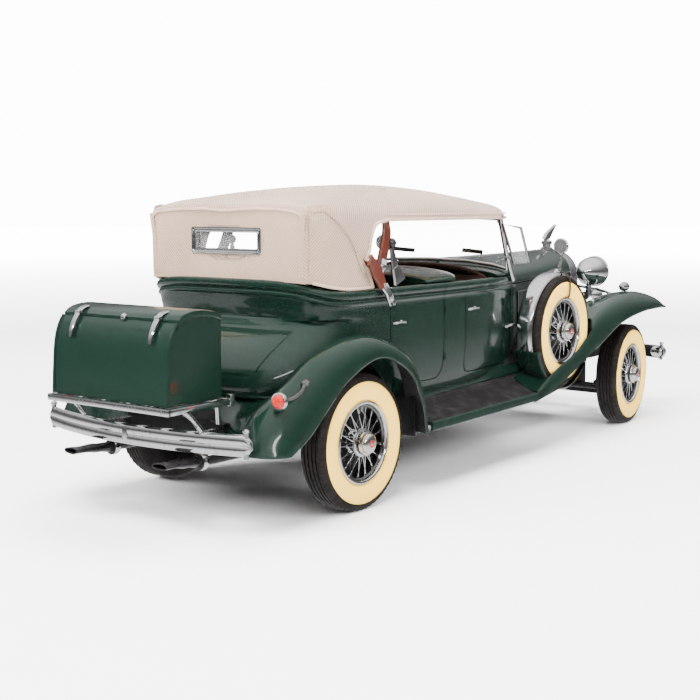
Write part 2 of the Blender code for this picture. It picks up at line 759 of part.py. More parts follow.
def spares():
    for side_name, side in sides():
        centre = (side * SPARE[0], SPARE[1], SPARE[2])
        wheel(side_name, centre, side, spare=True)
        spare_cover(side_name, side)


def spare_cover(side_name, side):
    """Metal band over the tread, from the foot at the back up and over the top."""
    inner, outer = TYRE_R + GAP, TYRE_R + GAP + 0.8
    rings = []
    for k in range(17):
        angle = math.radians(lerp(74, 212, k / 16))
        c, s = math.cos(angle), math.sin(angle)
        half = lerp(3.9, 3.4, k / 16)
        ring = []
        for across, radius in ((-half, inner - 0.9), (-half * 0.7, inner), (half * 0.7, inner),
                               (half, inner - 0.9), (half + 0.35, inner - 0.7),
                               (half * 0.75, outer), (-half * 0.75, outer),
                               (-half - 0.35, inner - 0.7)):
            ring.append((side * (SPARE[0] + across), SPARE[1] + radius * c,
                         SPARE[2] + radius * s))
        rings.append(ring)
    shade(loft("spare_cover_" + side_name, rings, "chrome"))


# ---------------------------------------------------------------- canvas top

CREST = [(TOP_BACK_Y, 77.0), (-76.0, 78.6), (-60.0, 80.8), (-45.0, 81.8), (-30.0, 82.3),
         (-14.0, 81.3), (-2.0, 79.9), (TOP_FRONT_Y, 78.3)]


def roof_row(y, eave_x, count=12):
    crest = height_at(CREST, y)
    row = []
    for k in range(count + 1):
        x, rise = superellipse(eave_x, crest - EAVE_Z, roof_power(y), k / count)
        row.append((x, y, EAVE_Z + rise))
    return row


def roof_power(y):
    """The roof is flat across at the back edge and crowned farther forward."""
    return height_at([(TOP_BACK_Y, 4.6), (-72.0, 3.2), (-58.0, 2.5)], y)


def opening_y(z):
    """Front edge of the canvas quarter, which follows the rear bow."""
    return height_at([(55.0, -61.0), (63.5, -66.5), (66.0, -64.0), (70.0, -59.0),
                      (EAVE_Z, -53.5)], z)


def wall_x(y, z):
    """Half-width of the canvas sides, rounded towards the back corners."""
    t = (z - 56.0) / (EAVE_Z - 56.0)
    full = lerp(29.6, EAVE_X, t) + 0.6 * t * min(max((-62.0 - y) / 14.0, 0.0), 1.0)
    corner = max(0.0, (-73.0 - y) / (-73.0 - TOP_BACK_Y))
    return full - lerp(2.4, 1.6, t) * corner ** 2.2


def canvas_foot_z(y):
    return height_at([(TOP_BACK_Y, 57.4), (-77.0, 56.3), (-70.0, 55.5), (-60.0, 55.5)], y)


def canvas_top():
    """Roof, quarters and back of the raised canvas, with its window cut in the back."""
    back = 7
    ahead = [TOP_FRONT_Y, -6.0, -20.0, -33.0, -44.0]
    behind = [lerp(opening_y(EAVE_Z), TOP_BACK_Y, k / back) for k in range(back + 1)]
    levels = [0.0, 0.24, 0.5, 0.76]
    rows = []
    for y in ahead + behind:
        t = (opening_y(EAVE_Z) - y) / (opening_y(EAVE_Z) - TOP_BACK_Y)
        side_points = []
        for level in levels:
            z_low = canvas_foot_z(lerp(-61.0, TOP_BACK_Y, max(t, 0.0)))
            z = lerp(z_low, EAVE_Z, level)
            place = lerp(opening_y(z), TOP_BACK_Y, max(t, 0.0)) if t >= 0 else y
            side_points.append((wall_x(place, z), place, z))
        roof = roof_row(y, wall_x(y, EAVE_Z))
        rows.append(side_points + roof + mirrored(reversed(side_points)))
    count = len(rows[0])
    walls = len(levels)

    def open_side(r, c):
        return r < len(ahead) and (c < walls or c >= count - 1 - walls)
    top = sheet("canvas_top", rows, (0, 0, 1), "canvas", CANVAS, open_side, cap=True)
    window = block("rear_window_hole", (-10.8, TOP_BACK_Y - 4, 65.2),
                   (10.8, TOP_BACK_Y + 4, 69.9))
    boolean(top, window, "DIFFERENCE")


def bows():
    """Bent wood hoops under the canvas, with their feet outside the body."""
    half = [(32.2, -56.3, 50.8), (32.2, -58.3, 54.2), (30.6, -61.2, 58.4), (26.9, -65.2, 64.0),
            (26.0, -70.5, 69.5), (23.6, -74.5, 73.2), (14.0, -76.0, 75.4)]
    points = half + [(0.0, -76.2, 76.2)] + mirrored(reversed(half))
    pipe("rear_bow", points, BOW_R, "wood")
    half = [(28.9, -59.0, 60.5), (27.6, -54.0, 66.5), (26.4, -50.0, 71.4), (24.4, -48.4, 75.0),
            (13.0, -47.0, 78.4)]
    points = half + [(0.0, -46.4, 79.6)] + mirrored(reversed(half))
    pipe("main_bow", points, BOW_R, "wood")


# ---------------------------------------------------------------- windscreen and cabin

def windscreen():
    """Raked frame that stands on the cowl, and the pane in it."""
    foot_z, base_z, top_z = 56.6, 59.6, 72.4

    def lean(z):
        return lerp(11.6, 6.2, (z - foot_z) / (top_z - foot_z))
    half = [(0.0, base_z), (14.0, base_z - 0.4), (23.0, base_z - 1.4), (27.6, foot_z + 0.6),
            (28.2, 60.5), (27.9, 70.8), (27.0, top_z), (14.0, top_z + 0.5)]
    points = [(x, lean(z), z) for x, z in half] + [(0.0, lean(top_z), top_z + 0.7)]
    points += [(-x, lean(z), z) for x, z in reversed(half[1:])]
    pipe("windscreen_frame", points, 0.55, "chrome", cyclic=True)
    pane = [(0.0, base_z + 0.9), (14.0, base_z + 0.5), (22.8, base_z - 0.4), (26.6, 58.6),
            (27.2, 60.7), (27.0, 70.4), (26.3, top_z - 0.9), (14.0, top_z - 0.4),
            (0.0, top_z - 0.2)]
    outline = pane + [(-x, z) for x, z in reversed(pane[1:-1])]
    rings = [[(x, lean(z) + offset, z) for x, z in outline] for offset in (-0.25, 0.25)]
    loft("windscreen_glass", rings, "clear_glass")


def seat(name, back_y, front_y, half, top_z):
    """Cushion and upright back as one L-shaped solid."""
    low, cushion_z, thick = 27.3, 40.0, 6.5
    outline = [(front_y, low), (front_y, cushion_z), (back_y + thick + 1.5, cushion_z - 1.0),
               (back_y + thick - 1.0, top_z - 1.5), (back_y + thick - 3.0, top_z),
               (back_y + 1.0, top_z), (back_y + 1.0, low)]
    prism(name, outline, "X", -half, half, "leather")


def cabin():
    seat("front_seat", -22.5, 0.5, 25.5, 53.0)
    seat("rear_seat", -78.5, -53.0, 20.0, 53.5)
    top = Vector((-12.0, -4.0, 49.5))
    low = Vector((-12.0, 12.0, 36.5))
    slope = (top - low).normalized()
    rod("steering_column", low, top - slope * 0.9, 0.8, "black", 12)
    ring_r = 6.5
    turn = slope.to_track_quat("Z", "Y").to_matrix()
    rim = [tuple(top + turn @ Vector((ring_r * math.cos(a), ring_r * math.sin(a), 0)))
           for a in (2 * math.pi * k / 24 for k in range(24))]
    steering = pipe("steering_wheel", rim, 0.55, "black", cyclic=True)
    for k in range(2):
        arm = turn @ Vector((ring_r * math.cos(k * math.pi / 2), ring_r * math.sin(k * math.pi / 2),
                             0))
        boolean(steering, rod(f"spoke_{k}", top - arm, top + arm, 0.4, None, 8), "UNION")
    boolean(steering, rod("wheel_boss", top - slope * 0.6, top + slope * 0.8, 1.3), "UNION")
    hang(steering, pivot("steering_wheel_pivot", tuple(top)))


# ---------------------------------------------------------------- bumpers, lamps, trunk, rack

def bumper(name, end, middle, z, bracket, frame_end):
    """Curved bar across the car on two arms from the frame."""
    out = 1 if middle > end else -1
    thick = 1.5
    rings = []
    half = 34.3
    for k in range(11):
        x = lerp(-half, half, k / 10)
        y = lerp(middle, end, (x / half) ** 2)
        inner = y - out * thick
        rings.append([(x, inner, z[0] + 0.3), (x, inner, z[1] - 0.3), (x, y - out * 0.5, z[1]),
                      (x, y, z[1] - 0.7), (x, y, z[0] + 0.7), (x, y - out * 0.5, z[0])])
    bar = loft(name, rings, "chrome")
    for side_name, side in sides():
        ys = sorted((frame_end + out * GAP, bracket))
        arm = block(name + "_arm_" + side_name, (side * 15.0 - 1.2, ys[0], 21.2),
                    (side * 15.0 + 1.2, ys[1], 23.8))
        boolean(bar, arm, "UNION")
    return bar


def bumpers():
    bumper("front_bumper", 118.6, HALF_LENGTH, (19.4, 24.3), 124.2, FRAME_Y[1])
    bumper("rear_bumper", -113.7, -119.5, (20.2, 25.3), -117.8, FRAME_Y[0])


def lamps():
    place = (LAMP_X, 86.2, 52.8)
    for side_name, side in sides():
        head = turned("headlamp_" + side_name,
                      [(0.0, 6.3), (3.4, 5.9), (5.4, 5.0), (5.5, 4.0), (5.1, 1.0), (4.0, -2.2),
                       (2.2, -4.8), (0.0, -5.9)],
                      (side * place[0], *place[1:]), (0, 1, 0), "chrome", 18)
        post = rod("lamp_post_" + side_name, (side * place[0], place[1], 49.5),
                   (side * place[0], place[1], 44.0), 0.9)
        boolean(head, post, "UNION")
        turned("tail_lamp_" + side_name,
               [(0.0, 2.3), (1.7, 2.0), (2.1, 1.4), (2.1, 0.6), (1.6, -0.6), (0.0, -1.2)],
               (side * 36.0, -104.4, 32.2), (0, -1, 0), "red_glass", 16)


TRUNK_BACK = [(-124.2, TRUNK_Z), (-123.9, 37.0), (-123.4, 42.6), (-122.8, 45.8), (-121.8, 48.4),
              (-120.6, 50.2)]
TRUNK_ARC = [(-120.3, 50.9), (-119.0, 51.9), (-117.0, 52.5), (-114.5, 52.8), (-111.5, 52.7),
             (-108.8, 52.2), (TRUNK_Y[1], 51.4)]


def trunk():
    """Open box with a curved back, under a thin arched lid hinged at its front edge."""
    rim = [(y, z - LID - GAP) for y, z in TRUNK_ARC]
    outline = TRUNK_BACK + rim + [(TRUNK_Y[1], TRUNK_Z)]
    case = prism("trunk_body", outline, "X", -TRUNK_HALF, TRUNK_HALF, "paint")
    wall = 1.0
    inner = [(y + wall, z) for y, z in TRUNK_BACK[1:-1]]
    inner = [(inner[0][0], TRUNK_Z + wall)] + inner + [(inner[-1][0], 60.0)]
    inner += [(TRUNK_Y[1] - wall, 60.0), (TRUNK_Y[1] - wall, TRUNK_Z + wall)]
    hollow = prism("trunk_hollow", inner, "X", -TRUNK_HALF + wall, TRUNK_HALF - wall)
    boolean(case, hollow, "DIFFERENCE")
    under = [(y, z - LID) for y, z in reversed(TRUNK_ARC)]
    lid = prism("trunk_lid", TRUNK_ARC + under, "X", -TRUNK_HALF, TRUNK_HALF, "paint")
    hang(shade(lid), pivot("trunk_hinge", (0, TRUNK_Y[1], TRUNK_ARC[-1][1] - LID)))


def rack():
    """Slatted platform under the trunk, with braces down to the bumper."""
    half, z = 20.6, (30.0, 31.2)
    front = -104.0
    deck = block("luggage_rack", (-half, -HALF_LENGTH, z[0]), (half, front, z[1]), "chrome")
    slats = 5
    pitch = (2 * half - 1.4) / slats
    for k in range(slats):
        x = -half + 1.4 + k * pitch
        window = block(f"rack_gap_{k}", (x, -HALF_LENGTH + 1.4, z[0] - 2),
                       (x + pitch - 1.4, front - 1.4, z[1] + 2))
        boolean(deck, window, "DIFFERENCE")
    for side_name, side in sides():
        brace = rod("brace_" + side_name, (side * 19.9, -119.0, 30.5), (side * 19.9, -114.6, 26.2),
                    0.7)
        boolean(deck, brace, "UNION")


def main():
    chassis()
    rear_running_gear()
    front_running_gear()
    body()
    hood()
    radiator()
    fenders()
    spares()
    canvas_top()
    bows()
    windscreen()
    cabin()
    bumpers()
    lamps()
    trunk()
    rack()


clear_scene()
WORLD = {}
CAR = collection("collector_car")
CUTTERS = collection("cutters")
main()
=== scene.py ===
"""Looks of the collector car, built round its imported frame.

Same frame as the model: +X is the car's right side, +Y forward, +Z up, origin on the ground.
Lengths are in millimetres and angles in degrees; MM turns them into metres where meshes are made.
"""

import json
import math

import bmesh
import bpy
from mathutils import Matrix, Vector

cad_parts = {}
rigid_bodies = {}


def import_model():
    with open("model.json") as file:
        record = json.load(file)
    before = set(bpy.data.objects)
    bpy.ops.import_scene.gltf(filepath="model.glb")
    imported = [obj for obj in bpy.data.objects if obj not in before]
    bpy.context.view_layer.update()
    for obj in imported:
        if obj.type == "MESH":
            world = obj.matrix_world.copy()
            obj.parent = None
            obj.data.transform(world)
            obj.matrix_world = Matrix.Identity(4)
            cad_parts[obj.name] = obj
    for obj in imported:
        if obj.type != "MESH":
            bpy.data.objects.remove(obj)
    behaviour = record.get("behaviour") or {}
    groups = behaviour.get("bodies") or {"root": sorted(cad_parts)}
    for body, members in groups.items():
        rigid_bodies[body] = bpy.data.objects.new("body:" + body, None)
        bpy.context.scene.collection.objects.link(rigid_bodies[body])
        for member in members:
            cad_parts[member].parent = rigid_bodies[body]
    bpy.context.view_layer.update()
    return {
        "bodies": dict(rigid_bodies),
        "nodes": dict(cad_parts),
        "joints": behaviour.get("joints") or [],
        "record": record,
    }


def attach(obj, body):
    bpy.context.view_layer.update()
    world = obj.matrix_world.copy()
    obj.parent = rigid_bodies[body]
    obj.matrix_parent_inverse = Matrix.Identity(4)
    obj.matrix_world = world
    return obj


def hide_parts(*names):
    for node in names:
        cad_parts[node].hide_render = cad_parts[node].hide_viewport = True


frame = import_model()
MM = 0.001
GAP = 0.3
WELD = 0.002                    # points nearer than this are joined

# Places that repeat the model's driving dimensions
REAR_AXLE_Y = -72.0
FRONT_AXLE_Y = 85.7
TYRE_R = 17.4
RIM_R = 10.3
WHEEL_X = 32.0
KINGPIN_X = 26.0
STEER_AT_REST = 5.4
BODY_FRONT_Y = 15.2
CORNER_START_Y = -55.0
BELT_Z = 55.2
SHELF_Z = 47.6
HOOD_Y = (15.8, 85.6)
HOOD_HALF = (26.8, 11)
HOOD_CREST = (58.9, 60.1)
HOOD_POWER = (2.7, 2.2)
SHOULDER_Z = 52.3
TOP_FRONT_Y = 8.5
TOP_BACK_Y = -82.3
EAVE_Z = 72.7
EAVE_X = 28.4
SPARE = (33.2, 32.8, 37)
REAR_DOOR = (-53.9, -28)
FRONT_DOOR = (-16.6, 7.8)
DOOR_SILL_Z = 28.6
FENDER_CLEAR_R = 27.6


# ---------------------------------------------------------------- maths

def lerp(a, b, t):
    return a + (b - a) * t


def clamp(t, low=0.0, high=1.0):
    return min(max(t, low), high)


def smooth(t):
    t = clamp(t)
    return t * t * (3 - 2 * t)


def along(table, t):
    """Smooth curve through the rows of a table, t from 0 to 1 (Catmull-Rom)."""
    spans = len(table) - 1
    place = clamp(t) * spans
    i = min(int(place), spans - 1)
    u = place - i
    p1, p2 = Vector(table[i]), Vector(table[i + 1])
    p0 = Vector(table[i - 1]) if i > 0 else p1 * 2 - p2
    p3 = Vector(table[i + 2]) if i + 2 <= spans else p2 * 2 - p1
    return 0.5 * (2 * p1 + (p2 - p0) * u + (2 * p0 - 5 * p1 + 4 * p2 - p3) * u ** 2
                  + (3 * p1 - p0 - 3 * p2 + p3) * u ** 3)


def curve(table, count):
    return [along(table, k / (count - 1)) for k in range(count)]


def height_at(table, y):
    if y <= table[0][0]:
        return table[0][1]
    for (ya, a), (yb, b) in zip(table, table[1:]):
        if y <= yb:
            return lerp(a, b, (y - ya) / (yb - ya))
    return table[-1][1]


def soft_height(table, y):
    """Value at y on a smooth curve through (y, value) rows with rising y."""
    if y <= table[0][0]:
        return table[0][1]
    for i, ((ya, a), (yb, b)) in enumerate(zip(table, table[1:])):
        if y <= yb:
            u, span = (y - ya) / (yb - ya), yb - ya
            before = table[i - 1] if i > 0 else (2 * ya - yb, 2 * a - b)
            after = table[i + 2] if i + 2 < len(table) else (2 * yb - ya, 2 * b - a)
            ma = (b - before[1]) / (yb - before[0]) * span
            mb = (after[1] - a) / (after[0] - ya) * span
            return ((2 * u ** 3 - 3 * u ** 2 + 1) * a + (u ** 3 - 2 * u ** 2 + u) * ma
                    + (3 * u ** 2 - 2 * u ** 3) * b + (u ** 3 - u ** 2) * mb)
    return table[-1][1]


def superellipse(half, height, power, t):
    """Point on a rounded arch, t from 0 (foot at +half) through 0.5 (top) to 1."""
    angle = math.pi * t
    c, s = math.cos(angle), math.sin(angle)
    return half * math.copysign(abs(c) ** (2 / power), c), height * max(s, 0.0) ** (2 / power)


def arch(half, height, power, steps=40):
    """Whole arch as (x, rise) rows, from +half over the top to -half."""
    return [superellipse(half, height, power, k / steps) for k in range(steps + 1)]


def circle(count, radius=1.0):
    """Points round a circle as (x, y) rows."""
    return [(radius * math.cos(math.tau * k / count), radius * math.sin(math.tau * k / count))
            for k in range(count)]


def even(points, count):
    """Points at even steps of length along a polyline."""
    points = [Vector(p) for p in points]
    runs = [0]
    for a, b in zip(points, points[1:]):
        runs.append(runs[-1] + (b - a).length)
    found, i = [], 0
    for k in range(count):
        want = runs[-1] * k / (count - 1)
        while i < len(points) - 2 and runs[i + 1] < want:
            i += 1
        span = runs[i + 1] - runs[i]
        found.append(points[i].lerp(points[i + 1], clamp((want - runs[i]) / span if span else 0)))
    return found


def mirrored(points):
    return [Vector((-p[0], p[1], p[2])) for p in points]


def across(half, middle):
    """A line over the car from its right half and the point at its middle."""
    return half + [middle] + [(-x, y, z) for x, y, z in reversed(half)]


def sides():
    return (("right", 1), ("left", -1))


def at(side, *points):
    """Points given for the right side, moved to either side."""
    return [(side * x, y, z) for x, y, z in points]


# ---------------------------------------------------------------- materials

class Finish:
    """A Principled material with helpers for noise-driven colour, roughness and bump."""

    def __init__(self, name, colour, roughness, metallic=0.0, **inputs):
        self.material = bpy.data.materials.new(name)
        self.material.use_nodes = True
        self.nodes = self.material.node_tree.nodes
        self.links = self.material.node_tree.links
        self.shader = self.nodes["Principled BSDF"]
        self.colour = colour
        self.set("Base Color", (*colour, 1))
        self.set("Roughness", roughness)
        self.set("Metallic", metallic)
        for key, value in inputs.items():
            self.set(key.replace("_", " "), value)
        self.place = self.nodes.new("ShaderNodeTexCoord").outputs["Object"]
        self.normal = None

    def set(self, key, value):
        self.shader.inputs[key].default_value = value

    def noise(self, scale, detail=3.0, stretch=(1, 1, 1), distortion=0.0):
        mapping = self.nodes.new("ShaderNodeMapping")
        mapping.inputs["Scale"].default_value = stretch
        self.links.new(self.place, mapping.inputs["Vector"])
        noise = self.nodes.new("ShaderNodeTexNoise")
        noise.inputs["Scale"].default_value = scale
        noise.inputs["Detail"].default_value = detail
        noise.inputs["Distortion"].default_value = distortion
        self.links.new(mapping.outputs["Vector"], noise.inputs["Vector"])
        return noise.outputs["Fac"]

    def ramp(self, factor, low, high, start=0.3, end=0.7):
        node = self.nodes.new("ShaderNodeMapRange")
        for key, value in (("From Min", start), ("From Max", end), ("To Min", low), ("To Max", high)):
            node.inputs[key].default_value = value
        self.links.new(factor, node.inputs["Value"])
        return node.outputs["Result"]

    def tint(self, factor, other, start=0.35, end=0.65):
        """Mix the base colour with another one by a factor."""
        mix = self.nodes.new("ShaderNodeMix")
        mix.data_type = "RGBA"
        current = self.shader.inputs["Base Color"]
        if current.is_linked:
            self.links.new(current.links[0].from_socket, mix.inputs[6])
        else:
            mix.inputs[6].default_value = (*self.colour, 1.0)
        mix.inputs[7].default_value = (*other, 1.0)
        self.links.new(self.ramp(factor, 0, 1, start, end), mix.inputs[0])
        self.links.new(mix.outputs[2], current)
        return self

    def rough(self, factor, low, high):
        self.links.new(self.ramp(factor, low, high), self.shader.inputs["Roughness"])
        return self

    def bump(self, height, distance, strength=1.0):
        """Raise the surface by up to a distance in millimetres."""
        node = self.nodes.new("ShaderNodeBump")
        node.inputs["Distance"].default_value = distance * MM
        node.inputs["Strength"].default_value = strength
        self.links.new(height, node.inputs["Height"])
        if self.normal is not None:
            self.links.new(self.normal, node.inputs["Normal"])
        self.normal = node.outputs["Normal"]
        self.links.new(self.normal, self.shader.inputs["Normal"])
        return self

    def math(self, operation, a, b=None):
        node = self.nodes.new("ShaderNodeMath")
        node.operation = operation
        for socket, value in zip(node.inputs, (a, b)):
            if value is None:
                continue
            if isinstance(value, (int, float)):
                socket.default_value = value
            else:
                self.links.new(value, socket)
        return node.outputs[0]


def paint():
    f = Finish("green_enamel", (0.0030, 0.0100, 0.0066), 0.20, 0.0, Coat_Weight=0.8,
               Coat_Roughness=0.03, Coat_IOR=1.4, Specular_IOR_Level=0.2)
    f.tint(f.noise(24, 1), (0.0032, 0.0112, 0.0072), 0.35, 0.7)
    f.rough(f.noise(60, 2), 0.20, 0.26)
    f.bump(f.noise(90, 0), 0.006, 0.08)
    return f.material


def chrome(name="chrome", colour=(0.80, 0.80, 0.81), rough=(0.05, 0.16)):
    f = Finish(name, colour, 0.08, 1.0)
    f.rough(f.noise(300, 5), *rough)
    f.tint(f.noise(900, 4), tuple(c * 0.72 for c in colour), 0.56, 0.72)
    f.bump(f.noise(700, 3), 0.02, 0.35)
    return f.material


def twill():
    """Twill canvas: diagonal ribs crossed by threads, in the sheet's own coordinates."""
    f = Finish("canvas", (0.345, 0.222, 0.145), 0.93, 0.0, Sheen_Weight=0.25, Sheen_Roughness=0.6)
    weave = f.nodes.new("ShaderNodeAttribute")
    weave.attribute_name = "weave"
    parts = f.nodes.new("ShaderNodeSeparateXYZ")
    f.links.new(weave.outputs["Vector"], parts.inputs[0])
    u, v = parts.outputs[0], parts.outputs[1]
    pitch = 0.62
    rib = f.math("SINE", f.math("MULTIPLY", f.math("ADD", u, v), math.tau / (pitch * 1.414)))
    thread = f.math("SINE", f.math("MULTIPLY", f.math("SUBTRACT", u, v), math.tau / (pitch * 0.9)))
    both = f.math("ADD", f.math("MULTIPLY", rib, 0.62), f.math("MULTIPLY", thread, 0.30))
    height = f.math("ADD", f.math("MULTIPLY", both, 0.5), 0.5)
    # The weave's diagonal pattern is drawn as darker colour in the low places between the ribs: painted
    # shade in the grooves.
    f.tint(height, (0.105, 0.065, 0.043), 0.68, 0.14)
    f.tint(f.noise(40, 2), (0.36, 0.24, 0.16), 0.4, 0.95)
    f.bump(height, 0.16, 0.8)
    f.bump(f.noise(120, 2), 0.25, 0.25)
    return f.material


def binding():
    f = Finish("canvas_binding", (0.42, 0.285, 0.20), 0.85, 0.0, Sheen_Weight=0.2)
    f.bump(f.noise(2600, 2), 0.05, 0.5)
    f.tint(f.noise(200, 3), (0.31, 0.22, 0.16), 0.4, 0.8)
    return f.material


def leather(name, colour, dark):
    f = Finish(name, colour, 0.5, 0.0, Coat_Weight=0.1, Coat_Roughness=0.4)
    grain = f.nodes.new("ShaderNodeTexVoronoi")
    grain.inputs["Scale"].default_value = 1500
    f.links.new(f.place, grain.inputs["Vector"])
    f.tint(f.noise(140, 4), dark, 0.35, 0.75)
    f.bump(grain.outputs["Distance"], 0.05, 0.4)
    f.rough(f.noise(500, 3), 0.40, 0.62)
    return f.material


def wood():
    f = Finish("varnished_wood", (0.066, 0.013, 0.006), 0.34, 0.0, Coat_Weight=0.6, Coat_Roughness=0.12)
    grain = f.noise(260, 5, (1, 1, 0.12), 0.6)
    f.tint(grain, (0.028, 0.006, 0.003), 0.45, 0.75)
    f.bump(grain, 0.03, 0.4)
    return f.material


def rubber():
    f = Finish("tyre_rubber", (0.0065, 0.0045, 0.0038), 0.6, 0.0, Specular_IOR_Level=0.25)
    f.tint(f.noise(180, 5), (0.013, 0.0098, 0.0085), 0.5, 0.85)
    f.rough(f.noise(420, 4), 0.50, 0.75)
    f.bump(f.noise(1500, 3), 0.02, 0.5)
    return f.material


def whitewall():
    f = Finish("whitewall", (0.88, 0.52, 0.055), 0.6, 0.0, Subsurface_Weight=0.05)
    f.tint(f.noise(70, 4), (0.92, 0.57, 0.085), 0.35, 0.7)
    f.tint(f.noise(900, 4), (0.68, 0.40, 0.06), 0.66, 0.85)
    f.bump(f.noise(500, 2), 0.02, 0.4)
    return f.material


def matting():
    f = Finish("rubber_matting", (0.0055, 0.0050, 0.0050), 0.6, 0.0, Specular_IOR_Level=0.3)
    f.tint(f.noise(260, 5), (0.020, 0.019, 0.018), 0.45, 0.8)
    f.bump(f.noise(1800, 3), 0.03, 0.5)
    return f.material


def plain(name, colour, rough, metallic=0.0, grit=0.02, **inputs):
    f = Finish(name, colour, rough, metallic, **inputs)
    f.tint(f.noise(350, 4), tuple(min(1, c * 1.5 + 0.004) for c in colour), 0.45, 0.8)
    f.rough(f.noise(700, 3), rough * 0.8, min(1, rough * 1.25))
    f.bump(f.noise(1300, 3), grit, 0.5)
    return f.material


def glass(name, colour, alpha):
    f = Finish(name, colour, 0.03, 0.0, Coat_Weight=0.3)
    f.set("Alpha", alpha)
    f.rough(f.noise(90, 3), 0.02, 0.06)
    f.bump(f.noise(60, 1), 0.02, 0.1)
    return f.material


# Each finish: its material, and the record's slot that it belongs to
FINISHES = {
    "paint": (paint(), "body_paint"),
    "chrome": (chrome(), "chrome"),
    "canvas": (twill(), "canvas"),
    "binding": (binding(), "canvas"),
    "dull_chrome": (chrome("dull_chrome", (0.60, 0.59, 0.59), (0.14, 0.34)), "chrome"),
    # Darker copy of chrome: painted shade, used for the rims' inner well, the back spokes and the tail
    # lamps' stalks.
    "dark_chrome": (chrome("dark_chrome", (0.20, 0.195, 0.19), (0.12, 0.28)), "chrome"),
    "leather": (leather("rust_leather", (0.20, 0.042, 0.014), (0.095, 0.018, 0.006)), "leather"),
    "trim": (leather("dark_trim", (0.028, 0.010, 0.006), (0.012, 0.006, 0.005)), "leather"),
    "wood": (wood(), "wood"),
    "tyre": (rubber(), "tyre"),
    "whitewall": (whitewall(), "tyre"),
    "matting": (matting(), "matting"),
    "black": (plain("satin_black", (0.0035, 0.0035, 0.004), 0.45, Specular_IOR_Level=0.25),
              "chassis_black"),
    "gloss_black": (plain("gloss_black", (0.005, 0.005, 0.0055), 0.16, 0, 0.008, Coat_Weight=0.8),
                    "gloss_black"),
    "steel": (plain("dark_steel", (0.022, 0.021, 0.022), 0.30, 0.6), "grey_steel"),
    # Matt near-black: the radiator core's own colour, and painted shade on the disc behind the wire
    # wheels' spokes.
    "floor_black": (plain("black_core_and_painted_shade", (0.003, 0.003, 0.003), 0.9), "chassis_black"),
    "pane": (glass("clear_pane", (0.92, 0.95, 0.95), 0.07), "clear_glass"),
    "lens": (glass("headlamp_lens", (0.86, 0.88, 0.90), 0.45), "clear_glass"),
    "red": (plain("red_lens", (0.30, 0.003, 0.002), 0.12, Coat_Weight=1.0, Subsurface_Weight=0.1),
            "red_lens"),
    "pale": (plain("pale_strip", (0.34, 0.32, 0.30), 0.35), "chrome"),
}


# ---------------------------------------------------------------- mesh making

